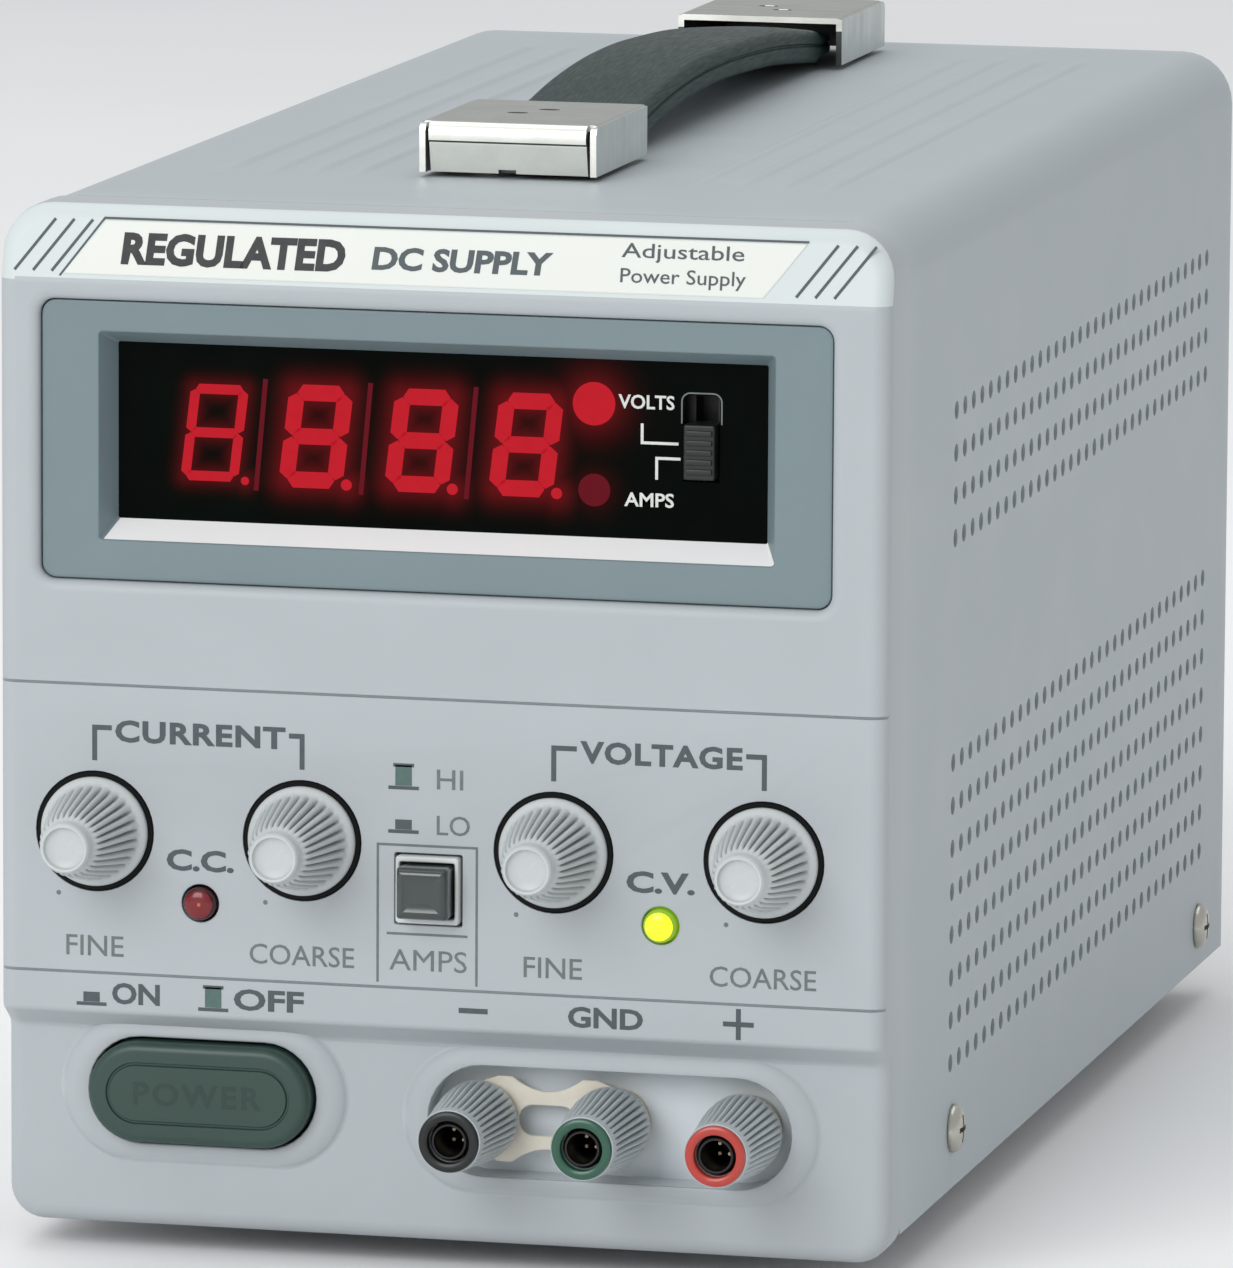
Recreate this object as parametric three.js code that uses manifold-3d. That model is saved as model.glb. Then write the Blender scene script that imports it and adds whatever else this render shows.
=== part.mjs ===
// Bench power supply: a narrow tall case with a moulded front bezel, a folded steel cover over a
// bottom chassis, a strap handle, four control knobs, a push-button range switch, a large push-push
// power button, three screw-down output terminals and a finned heat sink at the back.
//
// Units are millimetres, +Z up. While the pieces are drawn, X runs to the right seen from the front,
// Y runs back from the front face of the bezel and Z runs up from the bezel's bottom edge. The whole
// group is then moved so that its origin is the bottom centre of the finished object.

import * as THREE from 'three';
import { mergeVertices } from 'three/addons/utils/BufferGeometryUtils.js';
import Module from 'manifold-3d';

const wasm = await Module();
wasm.setup();

// ---------------------------------------------------------------- driving dimensions
const GAP = 0.3;                    // free space between pieces that meet

const CASE_W = 128;                 // bezel width
const CASE_H = 145.5;               // bezel bottom to cover top
const CASE_D = 248;                 // bezel face to the cover's rear edge
const BEZEL_D = 12;                 // how far the bezel wraps on to the sides
const WALL = 3.2;                   // bezel wall
const BAND_Z = 134.5;               // the label band leans back above this height
const BAND_LEAN = 2.6;              // and by this much at the top edge
const STEP_Z = 31.3;                // top of the set-back lower face
const STEP_RUN = 2.7;               // height of the sloping ledge under it
const LOWER_Y = 3.8;                // depth of the lower face
const GROOVES_Z = [78.0, 36.9];

const SHEET = 1.2;                  // steel sheet
const COVER_HALF = 63.8;            // cover's outer half width
const COVER_R = 8;                  // its bent corners
const COVER_BOTTOM = 3;
const VENT_ROWS_Z = [115.3, 109.2, 103.1, 97.0].concat(
  Array.from({ length: 8 }, (_, i) => 65.0 - i * 6.4));
const VENT_Y = [43, 230];           // where the vent rows start and end
const VENT_PER_ROW = 3;
const VENT_H = 2.6;

const HANDLE_X = -2.5;              // middle of the two caps
const STRAP_X = -1.8;               // middle of the strap, which has side play in its caps
const CAP = { w: 26, h: 8, len: 31, front: 47, rear: 205, wall: 0.9 };
const STRAP_W = 18.2;
const STRAP_T = [3.4, 5.4];         // thickness inside the caps and along the grip

const DISPLAY = { x: -1.1, half: 57, z0: 92.6, z1: 132.3, r: 2.2, face: 1.3 };
const WINDOW = { half: 46.8, z0: 101.0, z1: 126.0, y: 5.3, t: 1.7 };
const WINDOW_MOUTH = { half: 48.5, z0: 98.4, z1: 127.7 };
const METER_SLOT = { x: 36.2, half: 2.6, z0: 109.3, z1: 121.4 };
const METER_SLIDER = { z0: 109.7, z1: 117.5 };

const KNOB_X = [-49.9, -19.7, 16.6, 46.7];
const KNOB_Z = 57.1;
const KNOB_FRONT = -15.5;           // how far the knobs stand out
const LAMPS = { cc: -34.5, cv: 32.0 };
const LAMP_Z = 47.5;
const AMPS = { x: -1.4, z: 51.0, w: 9.2, h: 9.6, button: 7.4, front: -4.5 };
const POWER = { x: -34.9, z: 19.9, halfW: 16.2, halfH: 7.2, front: -0.2 };
const POWER_COLLAR = { halfW: 20.6, halfH: 10.3 };
const TERMINALS = { x: 24.2, z: 18.0, pitch: 19.05, halfW: 26.2, halfH: 7.9, floor: 8 };
const TERMINAL_COLLAR = { halfW: 29.8, halfH: 10.4 };
const COLLAR_FACE = 2.6;            // both collars stand this far behind the bezel's face
const NUT = { front: -14, rear: 3.5, rFront: 4.5, rRear: 5.5, bore: 2.9 };
const POST_R = 2.6;

const SCREWS = [[46.4, 11.7], [228, 9.6]];   // y, z of the cover screws on each side
const FEET = [[42, 38], [42, 215]];          // x, y of the feet on each side
const FOOT_BOTTOM = -4;
const SINK = { half: 56, z0: 50, z1: 138, base: 5, fins: 13, fin: 2.2 };
const OVERALL_D = 285;                       // knobs to heat sink
const REAR_END = OVERALL_D + KNOB_FRONT;

// ---------------------------------------------------------------- materials
const paint = (color, roughness, metalness = 0) =>
  new THREE.MeshStandardMaterial({ color, roughness, metalness });
const M = {
  bezel: paint(0xbcc3c6, 0.55), label: paint(0xe2e6e2, 0.45), frame: paint(0x8699a0, 0.5),
  window: paint(0x0b1012, 0.1), cover: paint(0xb2bcc4, 0.5), steel: paint(0xa9adb0, 0.4, 0.8),
  alloy: paint(0x2c2e30, 0.5, 0.6), core: paint(0x55504a, 0.6, 0.5), copper: paint(0x9c5a2e, 0.5, 0.3),
  board: paint(0x2f6b3c, 0.6), can: paint(0x23406e, 0.4), black: paint(0x1d1f20, 0.5),
  digit: paint(0x5a1216, 0.3), knob: paint(0xc8cdd0, 0.5), red: paint(0xb5242c, 0.35),
  yellow: paint(0xe8e23a, 0.3), button: paint(0x4a5152, 0.5), power: paint(0x46665f, 0.45),
  brass: paint(0xc9b478, 0.35, 0.9), link: paint(0xd9d4c6, 0.3, 0.7), nickel: paint(0xc9c8bd, 0.3, 0.9),
  strap: paint(0x565d60, 0.75), rubber: paint(0x202122, 0.9),
};

// ---------------------------------------------------------------- shape helpers
function solid(geometry) {
  const bare = geometry.index ? geometry.clone() : geometry;
  bare.deleteAttribute('normal');
  bare.deleteAttribute('uv');
  const merged = mergeVertices(bare, 1e-4);
  return new wasm.Manifold(new wasm.Mesh({
    numProp: 3,
    vertProperties: Float32Array.from(merged.attributes.position.array),
    triVerts: Uint32Array.from(merged.index.array),
  }));
}

function toGeometry(manifold) {
  const mesh = manifold.getMesh();
  const geometry = new THREE.BufferGeometry();
  geometry.setAttribute('position', new THREE.BufferAttribute(mesh.vertProperties, 3));
  geometry.setIndex(new THREE.BufferAttribute(mesh.triVerts, 1));
  geometry.computeVertexNormals();
  return geometry;
}

const join = (...pieces) => pieces.reduce((a, b) => a.add(b));
const cut = (body, ...tools) => tools.reduce((a, b) => a.subtract(b), body);

function block(x0, x1, y0, y1, z0, z1) {
  const geometry = new THREE.BoxGeometry(x1 - x0, y1 - y0, z1 - z0);
  geometry.translate((x0 + x1) / 2, (y0 + y1) / 2, (z0 + z1) / 2);
  return solid(geometry);
}

// A block whose front and back rectangles differ: [half, z0, z1] at y0 and at y1.
function taperedBlock(front, y0, back, y1) {
  const geometry = new THREE.BoxGeometry(2, 2, 2);
  const p = geometry.attributes.position;
  for (let i = 0; i < p.count; i++) {
    const [half, z0, z1] = p.getY(i) < 0 ? front : back;
    p.setXYZ(i, p.getX(i) * half, p.getY(i) < 0 ? y0 : y1, p.getZ(i) < 0 ? z0 : z1);
  }
  return solid(geometry);
}

// A round bar along Y, X or Z from a to b.
function bar(axis, r, a, b, at, sides = 20) {
  const geometry = new THREE.CylinderGeometry(r, r, b - a, sides);
  geometry.translate(0, (a + b) / 2, 0);
  if (axis === 'x') geometry.rotateZ(-Math.PI / 2);
  if (axis === 'z') geometry.rotateX(Math.PI / 2);
  const [u, v] = at;
  geometry.translate(...(axis === 'y' ? [u, 0, v] : axis === 'x' ? [0, u, v] : [u, v, 0]));
  return solid(geometry);
}

// An outline in X and Z made solid from y0 to y1.
function slab(shape, y0, y1, segments = 6) {
  const geometry = new THREE.ExtrudeGeometry(shape, {
    depth: y1 - y0, bevelEnabled: false, curveSegments: segments });
  geometry.rotateX(Math.PI / 2);
  geometry.translate(0, y1, 0);
  return solid(geometry);
}

// An outline in Y and Z made solid from x0 to x1.
function sideSlab(points, x0, x1) {
  const shape = new THREE.Shape(points.map(([y, z]) => new THREE.Vector2(y, z)));
  const geometry = new THREE.ExtrudeGeometry(shape, { depth: x1 - x0, bevelEnabled: false });
  geometry.applyMatrix4(new THREE.Matrix4().set(
    0, 0, 1, x0,
    1, 0, 0, 0,
    0, 1, 0, 0,
    0, 0, 0, 1));
  return solid(geometry);
}

function roundedRect(x0, x1, z0, z1, rTop, rBottom = rTop) {
  const s = new THREE.Shape();
  s.moveTo(x0 + rBottom, z0);
  s.lineTo(x1 - rBottom, z0);
  s.absarc(x1 - rBottom, z0 + rBottom, rBottom, -Math.PI / 2, 0);
  s.lineTo(x1, z1 - rTop);
  s.absarc(x1 - rTop, z1 - rTop, rTop, 0, Math.PI / 2);
  s.lineTo(x0 + rTop, z1);
  s.absarc(x0 + rTop, z1 - rTop, rTop, Math.PI / 2, Math.PI);
  s.lineTo(x0, z0 + rBottom);
  s.absarc(x0 + rBottom, z0 + rBottom, rBottom, Math.PI, Math.PI * 1.5);
  return s;
}

const oval = (place, halfW, halfH) =>
  roundedRect(place.x - halfW, place.x + halfW, place.z - halfH, place.z + halfH, halfH - 0.01);

// A turned piece about a Y axis at (x, z); points are [radius, y] pairs.
function turned(points, x, z, sides = 20) {
  const profile = points.map(([r, y]) => new THREE.Vector2(r, y));
  const geometry = new THREE.LatheGeometry(profile, sides);
  geometry.translate(x, 0, z);
  return solid(geometry);
}

const part = new THREE.Group();
const model = new THREE.Group();
part.add(model);

function node(name, shape, material) {
  const mesh = new THREE.Mesh(toGeometry(shape), material);
  mesh.name = name;
  model.add(mesh);
}

// ---------------------------------------------------------------- front bezel
function frontBezel() {
  const bevel = 2.5;
  const outline = roundedRect(-CASE_W / 2, CASE_W / 2, 0, CASE_H, 7, 5);
  const geometry = new THREE.ExtrudeGeometry(outline, {
    depth: BEZEL_D + 2, curveSegments: 4, bevelThickness: bevel, bevelSize: bevel,
    bevelOffset: -bevel, bevelSegments: 2 });
  geometry.rotateX(Math.PI / 2);
  geometry.translate(0, BEZEL_D + 2 + bevel, 0);
  let body = solid(geometry);

  const half = CASE_W / 2;
  body = cut(body,
    block(-half - 1, half + 1, BEZEL_D, BEZEL_D + 20, -1, CASE_H + 1),
    sideSlab([[-1, BAND_Z], [0, BAND_Z], [BAND_LEAN, CASE_H + 0.5], [-1, CASE_H + 0.5]], -half, half),
    sideSlab([[-1, -1], [LOWER_Y, -1], [LOWER_Y, STEP_Z - STEP_RUN], [0, STEP_Z], [-1, STEP_Z]],
      -half, half));
  body = join(body,
    slab(oval(POWER, POWER_COLLAR.halfW, POWER_COLLAR.halfH), COLLAR_FACE, LOWER_Y + 1, 6),
    slab(oval(TERMINALS, TERMINAL_COLLAR.halfW, TERMINAL_COLLAR.halfH), COLLAR_FACE, LOWER_Y + 1, 6));

  const innerHalf = half - 2.8;
  const pocketFloor = TERMINALS.floor + 2.4;
  const pocketX = [TERMINALS.x - TERMINALS.halfW - 2, TERMINALS.x + TERMINALS.halfW + 2];
  body = cut(body,
    block(-innerHalf, innerHalf, WALL, BEZEL_D + 1, STEP_Z + 1, CASE_H - 4.5),
    block(-innerHalf, pocketX[0], LOWER_Y + WALL, BEZEL_D + 1, 2.8, STEP_Z + 1.5),
    block(pocketX[0] - 0.5, pocketX[1] + 0.5, pocketFloor, BEZEL_D + 1, 2.8, STEP_Z + 1.5),
    block(pocketX[1], innerHalf, LOWER_Y + WALL, BEZEL_D + 1, 2.8, STEP_Z + 1.5),
    block(pocketX[0], pocketX[1], LOWER_Y + WALL, pocketFloor + 1, 28, STEP_Z + 1.5),
    block(pocketX[0], pocketX[1], LOWER_Y + WALL, pocketFloor + 1, 2.8, 8));

  const openings = [
    slab(roundedRect(-DISPLAY.half, DISPLAY.half, DISPLAY.z0, DISPLAY.z1, DISPLAY.r), -1, WALL + 1, 4)
      .translate([DISPLAY.x, 0, 0]),
    slab(oval(POWER, POWER.halfW + GAP, POWER.halfH + GAP), -1, LOWER_Y + WALL + 1, 6),
    slab(oval(TERMINALS, TERMINALS.halfW, TERMINALS.halfH), -1, TERMINALS.floor, 6),
    block(AMPS.x - AMPS.w / 2 - GAP, AMPS.x + AMPS.w / 2 + GAP, -1, WALL + 1,
      AMPS.z - AMPS.h / 2 - GAP, AMPS.z + AMPS.h / 2 + GAP),
  ];
  for (const z of GROOVES_Z) openings.push(block(-half + 2.2, half - 2.2, -1, 0.6, z - 0.4, z + 0.4));
  for (const x of KNOB_X) {
    openings.push(bar('y', 8.6, -1, 1.1, [x, KNOB_Z], 20));
    openings.push(bar('y', 4.1, -1, WALL + 1, [x, KNOB_Z], 12));
  }
  for (const x of [LAMPS.cc, LAMPS.cv]) openings.push(bar('y', 2.7, -1, WALL + 1, [x, LAMP_Z], 16));
  for (const i of [-1, 0, 1]) {
    openings.push(bar('y', 3.1, TERMINALS.floor - 1, BEZEL_D,
      [TERMINALS.x + i * TERMINALS.pitch, TERMINALS.z], 16));
  }
  return cut(body, ...openings);
}

// The leaning parallelogram that carries the lettering.
function labelPlate() {
  const shape = new THREE.Shape([[-54.5, 135.9], [46.0, 135.9], [51.8, 143.4], [-48.7, 143.4]]
    .map(([x, z]) => new THREE.Vector2(x, z - BAND_Z)));
  const geometry = new THREE.ExtrudeGeometry(shape, { depth: 0.4, bevelEnabled: false });
  geometry.rotateX(Math.PI / 2);
  geometry.rotateX(-Math.atan2(BAND_LEAN, CASE_H + 0.5 - BAND_Z));
  geometry.translate(0, -0.1, BAND_Z);
  return solid(geometry);
}

// ---------------------------------------------------------------- display
function displayFrame() {
  const d = DISPLAY;
  const w = WINDOW;
  const body = join(
    slab(roundedRect(-d.half + GAP, d.half - GAP, d.z0 + GAP, d.z1 - GAP, d.r), d.face, 7.4, 4),
    block(-58.3, 59.5, WALL + GAP, 5.2, 90.2, 134));
  return cut(body,
    taperedBlock([WINDOW_MOUTH.half, WINDOW_MOUTH.z0, WINDOW_MOUTH.z1], d.face - 0.1,
      [w.half, w.z0, w.z1], w.y - GAP + 0.05),
    block(-w.half - 1.2, w.half + 1.2, w.y - GAP, 9, w.z0 - 1.2, w.z1 + 1.2)).translate([d.x, 0, 0]);
}

function displayWindow() {
  const w = WINDOW;
  const s = METER_SLOT;
  const pane = block(-w.half - 0.9, w.half + 0.9, w.y, w.y + w.t, w.z0 - 0.9, w.z1 + 0.9);
  return cut(pane.translate([DISPLAY.x, 0, 0]),
    block(s.x - s.half, s.x + s.half, w.y - 1, w.y + w.t + 1, s.z0, s.z1));
}

// Four digit modules and two round lamps on one carrier.
function digitDisplay() {
  let body = block(-42.5, 25.5, 10, 15, 103, 124);
  for (const x of [-33.8, -19.0, -3.8, 11.2]) body = join(body, block(x - 6.6, x + 6.6, 8, 10.5, 104, 122.5));
  for (const z of [119.7, 107.6]) body = join(body, bar('y', 2.5, 8, 10.5, [20.9, z], 16));
  return body;
}

function meterSwitch() {
  const s = METER_SLOT;
  return cut(block(s.x - 4.6, s.x + 4.6, 8.6, 15, 105.1, 125.1),
    block(s.x - 1.6, s.x + 1.6, 8, 13, 107.5, 122.7));
}

function meterSlider() {
  const s = METER_SLOT;
  const k = METER_SLIDER;
  return join(
    block(s.x - s.half + GAP, s.x + s.half - GAP, 3.6, 8.2, k.z0, k.z1),
    block(s.x - 1.2, s.x + 1.2, 8, 12.6, k.z0 + 2, k.z1 - 2));
}

// ---------------------------------------------------------------- controls
function potentiometer(x) {
  const shell = join(
    bar('y', 8, 8.4, 18, [x, KNOB_Z], 16),
    bar('y', 3.8, 0.4, 9, [x, KNOB_Z], 12),
    block(x - 5, x + 5, 11, 16, KNOB_Z - 11.5, KNOB_Z - 4));
  return cut(shell, bar('y', 3.1, 0, 12, [x, KNOB_Z], 12));
}

function knob(x) {
  const f = KNOB_FRONT;
  const body = turned([[0, f], [2.9, f], [3.5, f + 0.5], [3.9, f + 2.2], [4.7, f + 3],
    [5.3, f + 9], [6.5, f + 13], [7.9, f + 14.4], [7.9, 0.6], [0, 0.6]], x, KNOB_Z, 20);
  const hollow = turned([[0, -4], [6, -4], [6.2, 0.8], [0, 0.8]], x, KNOB_Z, 12);
  return join(cut(body, hollow), bar('y', 2.8, -5, 11.4, [x, KNOB_Z], 12));
}

const lamp = (x) => turned([[0, -1.3], [1.3, -1.1], [2.1, -0.4], [2.4, 0.6], [2.4, 4.2], [2.9, 4.2],
  [2.9, 5.4], [0, 5.4]], x, LAMP_Z, 12);

function ampsSurround() {
  const { x, z, w, h, button } = AMPS;
  const inner = button / 2 + GAP;
  return cut(block(x - w / 2, x + w / 2, -0.8, 5, z - h / 2, z + h / 2),
    block(x - inner, x + inner, -2, 6, z - inner, z + inner));
}

function ampsButton() {
  const { x, z, button, front } = AMPS;
  const half = button / 2;
  const head = taperedBlock([half - 0.5, -half + 0.5, half - 0.5], front, [half, -half, half], front + 1);
  const placed = head.translate([x, 0, z]);
  return join(placed, block(x - half, x + half, front + 0.99, 6, z - half, z + half),
    bar('y', 1.6, 5, 15, [x, z], 12));
}

const ampsSwitch = () => cut(block(AMPS.x - 5.5, AMPS.x + 5.5, 10.5, 23.4, AMPS.z - 5.5, AMPS.z + 5.5),
  bar('y', 2, 10, 19, [AMPS.x, AMPS.z], 12));

function powerButton() {
  const p = POWER;
  return join(slab(oval(p, p.halfW, p.halfH), p.front, 9, 6), bar('y', 2, 8.5, 30, [p.x, p.z], 12));
}

const powerSwitch = () => cut(block(POWER.x - 8, POWER.x + 8, 24, 50, POWER.z - 7, POWER.z + 8),
  bar('y', 2.5, 23, 35, [POWER.x, POWER.z], 12));

// ---------------------------------------------------------------- output terminals
const postX = (i) => TERMINALS.x + (i - 1) * TERMINALS.pitch;

function post(i) {
  const body = turned([[0, -13.2], [POST_R, -13.2], [POST_R, 5.9], [4.7, 5.9], [4.7, TERMINALS.floor - GAP],
    [2.7, TERMINALS.floor - GAP], [2.7, 10.8], [4.6, 10.8], [4.6, 13.5], [1.6, 13.5], [1.6, 20],
    [0, 20]], postX(i), TERMINALS.z, 16);
  return cut(body, bar('y', 2.05, -14, 0, [postX(i), TERMINALS.z], 12));
}

const washer = (i) => turned([[NUT.bore, 3.8], [5.7, 3.8], [5.7, 4.6], [NUT.bore, 4.6], [NUT.bore, 3.8]],
  postX(i), TERMINALS.z, 20);

const nut = (i) => turned([[NUT.bore, NUT.front], [NUT.rFront - 0.3, NUT.front],
  [NUT.rFront, NUT.front + 0.5], [NUT.rFront + 0.1, NUT.front + 4], [NUT.rRear, NUT.rear - 3],
  [NUT.rRear, NUT.rear], [NUT.bore, NUT.rear], [NUT.bore, NUT.front]], postX(i), TERMINALS.z, 20);

// Flat link across the black and green terminals, waisted between its two holes.
function shortingLink() {
  const [a, b] = [postX(0), postX(1)];
  const z = TERMINALS.z;
  const s = new THREE.Shape();
  s.moveTo(a, z - 5.2);
  s.lineTo(a + 2.4, z - 6.1);
  s.lineTo(a + 4.4, z - 6.1);
  s.quadraticCurveTo((a + b) / 2, z - 2.1, b - 4.4, z - 6.1);
  s.lineTo(b - 2.4, z - 6.1);
  s.lineTo(b, z - 5.2);
  s.absarc(b, z, 5.2, -Math.PI / 2, Math.PI / 2);
  s.lineTo(b - 2.4, z + 6.1);
  s.lineTo(b - 4.4, z + 6.1);
  s.quadraticCurveTo((a + b) / 2, z + 2.1, a + 4.4, z + 6.1);
  s.lineTo(a + 2.4, z + 6.1);
  s.lineTo(a, z + 5.2);
  s.absarc(a, z, 5.2, Math.PI / 2, 1.5 * Math.PI);
  const holes = [a, b].map((x) => bar('y', 3, 4, 7, [x, z], 16));
  const slot = slab(oval({ x: (a + b) / 2, z }, 4.2, 2.2), 4, 7, 4);
  return cut(slab(s, 4.9, 5.6, 8), ...holes, slot);
}

// ---------------------------------------------------------------- casing
function coverProfile(half, top, r, bottom) {
  const s = new THREE.Shape();
  s.moveTo(-half, bottom);
  s.lineTo(half, bottom);
  s.lineTo(half, top - r);
  s.absarc(half - r, top - r, r, 0, Math.PI / 2);
  s.lineTo(-half + r, top);
  s.absarc(-half + r, top - r, r, Math.PI / 2, Math.PI);
  return s;
}

function topCover() {
  const y0 = BEZEL_D + GAP;
  let body = cut(slab(coverProfile(COVER_HALF, CASE_H, COVER_R, COVER_BOTTOM), y0, CASE_D, 6),
    slab(coverProfile(COVER_HALF - SHEET, CASE_H - SHEET, COVER_R - SHEET, COVER_BOTTOM - 2),
      y0 - 1, CASE_D + 1, 6));
  const run = (VENT_Y[1] - VENT_Y[0]) / VENT_PER_ROW;
  const reach = COVER_HALF + 1;
  for (const z of VENT_ROWS_Z) {
    for (let i = 0; i < VENT_PER_ROW; i++) {
      const y = VENT_Y[0] + i * run;
      const slot = block(-reach, reach, y, y + run - 4, z - VENT_H / 2, z + VENT_H / 2);
      body = cut(body, slot);
    }
  }
  for (const [y, z] of SCREWS) body = cut(body, bar('x', 1.9, -reach, reach, [y, z], 12));
  for (const x of [25, 31.2, 37.4, 44.2]) {
    for (const side of [-1, 1]) {
      const rib = taperedBlock([1.4, CASE_H - 0.5, CASE_H + 0.45], 52, [1.4, CASE_H - 0.5, CASE_H + 0.45], 232);
      body = join(body, rib.translate([side * x, 0, 0]));
    }
  }
  return body;
}

function baseChassis() {
  const half = COVER_HALF - SHEET - GAP - 0.1;
  const y0 = BEZEL_D + GAP;
  const y1 = CASE_D - 3.3;
  let body = cut(block(-half, half, y0, y1, COVER_BOTTOM, 19.6),
    block(-half + SHEET, half - SHEET, y0 - 1, y1 + 1, COVER_BOTTOM + SHEET, 23));
  for (const [y, z] of SCREWS) body = cut(body, bar('x', 1.6, -half - 1, half + 1, [y, z], 12));
  for (const x of [-50, 50]) {
    for (const y of [66, 136]) body = join(body, bar('z', 3, COVER_BOTTOM + 0.5, 13.7, [x, y], 10));
  }
  return body;
}

const INLET = { x: 32, z: 25, flangeW: 24.5, flangeH: 11.5, bodyW: 14, bodyH: 10, mouthW: 12.2, mouthH: 8 };
const FUSE = { x: -6, z: 25 };
const SELECTOR = { x: -34, z: 25 };

function rearPanel() {
  const y0 = CASE_D - 3;
  const inset = SHEET + GAP;
  const body = slab(coverProfile(COVER_HALF - inset, CASE_H - inset, COVER_R - inset, 4.6), y0, y0 + 1.4);
  return cut(body,
    block(INLET.x - INLET.bodyW - GAP, INLET.x + INLET.bodyW + GAP, y0 - 1, y0 + 3,
      INLET.z - INLET.bodyH - GAP, INLET.z + INLET.bodyH + GAP),
    bar('y', 5.6, y0 - 1, y0 + 3, [FUSE.x, FUSE.z], 16),
    block(SELECTOR.x - 9 - GAP, SELECTOR.x + 9 + GAP, y0 - 1, y0 + 3,
      SELECTOR.z - 5 - GAP, SELECTOR.z + 5 + GAP));
}

function heatSink() {
  const s = SINK;
  const y0 = CASE_D - 1.3;
  let body = block(-s.half, s.half, y0, y0 + s.base, s.z0, s.z1);
  const pitch = (2 * s.half - s.fin) / (s.fins - 1);
  for (let i = 0; i < s.fins; i++) {
    const x = -s.half + i * pitch;
    body = join(body, block(x, x + s.fin, y0 + s.base - 1, REAR_END, s.z0, s.z1));
  }
  return body;
}

function mainsInlet() {
  const { x, z } = INLET;
  const y = CASE_D - 1.3;
  let body = join(
    slab(roundedRect(x - INLET.flangeW, x + INLET.flangeW, z - INLET.flangeH, z + INLET.flangeH, 3),
      y, y + 3, 3),
    block(x - INLET.bodyW, x + INLET.bodyW, y - 18, y + 1, z - INLET.bodyH, z + INLET.bodyH));
  body = cut(body, block(x - INLET.mouthW, x + INLET.mouthW, y - 13, y + 4,
    z - INLET.mouthH, z + INLET.mouthH));
  for (const [dx, dz] of [[-7, -2], [0, 2], [7, -2]]) {
    body = join(body, block(x + dx - 1, x + dx + 1, y - 14, y - 4, z + dz - 2.1, z + dz + 2.1));
  }
  return body;
}

const fuseCap = () => join(bar('y', 5.2, CASE_D - 15, CASE_D, [FUSE.x, FUSE.z], 16),
  bar('y', 7, CASE_D - 1.3, CASE_D + 7, [FUSE.x, FUSE.z], 16),
  block(FUSE.x - 1.2, FUSE.x + 1.2, CASE_D + 6, CASE_D + 9.5, FUSE.z - 5.5, FUSE.z + 5.5));

function voltageSelector() {
  const { x, z } = SELECTOR;
  return cut(join(block(x - 15, x + 15, CASE_D - 1.3, CASE_D, z - 7.5, z + 7.5),
    block(x - 9, x + 9, CASE_D - 14, CASE_D - 1, z - 5, z + 5)),
    block(x - 7, x + 7, CASE_D - 10, CASE_D + 1, z - 3.2, z + 3.2));
}

const selectorSlider = () => block(SELECTOR.x - 6.7, SELECTOR.x - 0.7, CASE_D - 9.7, CASE_D - 0.6,
  SELECTOR.z - 2.9, SELECTOR.z + 2.9);

// ---------------------------------------------------------------- handle
// A folded cap, open underneath and towards the strap; mouth is +1 when it opens towards the back.
function handleCap(y0, mouth) {
  const c = CAP;
  const [x0, x1] = [HANDLE_X - c.w / 2, HANDLE_X + c.w / 2];
  const z0 = CASE_H + 0.75;
  const z1 = CASE_H + c.h;
  const y1 = y0 + c.len;
  const nose = mouth > 0 ? [y0, y0 + 1.2] : [y1, y1 - 1.2];
  const tail = mouth > 0 ? y1 : y0;
  const outer = sideSlab([[nose[0], z0], [tail, z0], [tail, z1], [nose[1], z1], [nose[0], z1 - 1.2]], x0, x1);
  const innerY = mouth > 0 ? [y0 + c.wall, y1 + 1] : [y0 - 1, y1 - c.wall];
  return cut(outer, block(x0 + c.wall, x1 - c.wall, innerY[0], innerY[1], z0 - 1, z1 - c.wall));
}

// The strap's middle line, as [y, z] points, from inside the front cap to inside the rear cap. It
// is made in two halves that meet at the top of its arch: each half turns a little as it is lifted.
const STRAP_LINE = new THREE.CatmullRomCurve3([[71, 149.2], [75, 149.2], [79, 149.2], [85, 149.4],
  [92, 150.1], [100, 151.1], [108, 151.9], [118, 152.6], [128, 153.0], [141, 153.1], [153, 152.8],
  [172, 152.0], [187, 150.9], [198, 149.9], [205, 149.2], [211, 149.1]].map(([y, z]) => new THREE.Vector3(0, y, z)));
const STRAP_HALVES_AT = 0.506;      // share of the line that the front half takes

function strapHalf(from, to, steps) {
  const upper = [];
  const lower = [];
  const [thin, thick] = STRAP_T;
  for (let i = 0; i <= steps; i++) {
    const t = from + ((to - from) * i) / steps;
    const p = STRAP_LINE.getPointAt(t);
    const d = STRAP_LINE.getTangentAt(t);
    const fromCap = Math.min(p.y - CAP.front - CAP.len, CAP.rear - p.y);
    const half = (thin + (thick - thin) * THREE.MathUtils.smoothstep(fromCap, 1, 8)) / 2;
    upper.push([p.y - d.z * half, p.z + d.y * half]);
    lower.push([p.y + d.z * half, p.z - d.y * half]);
  }
  const outline = lower.concat(upper.reverse());
  return sideSlab(outline, STRAP_X - STRAP_W / 2, STRAP_X + STRAP_W / 2);
}

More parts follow.
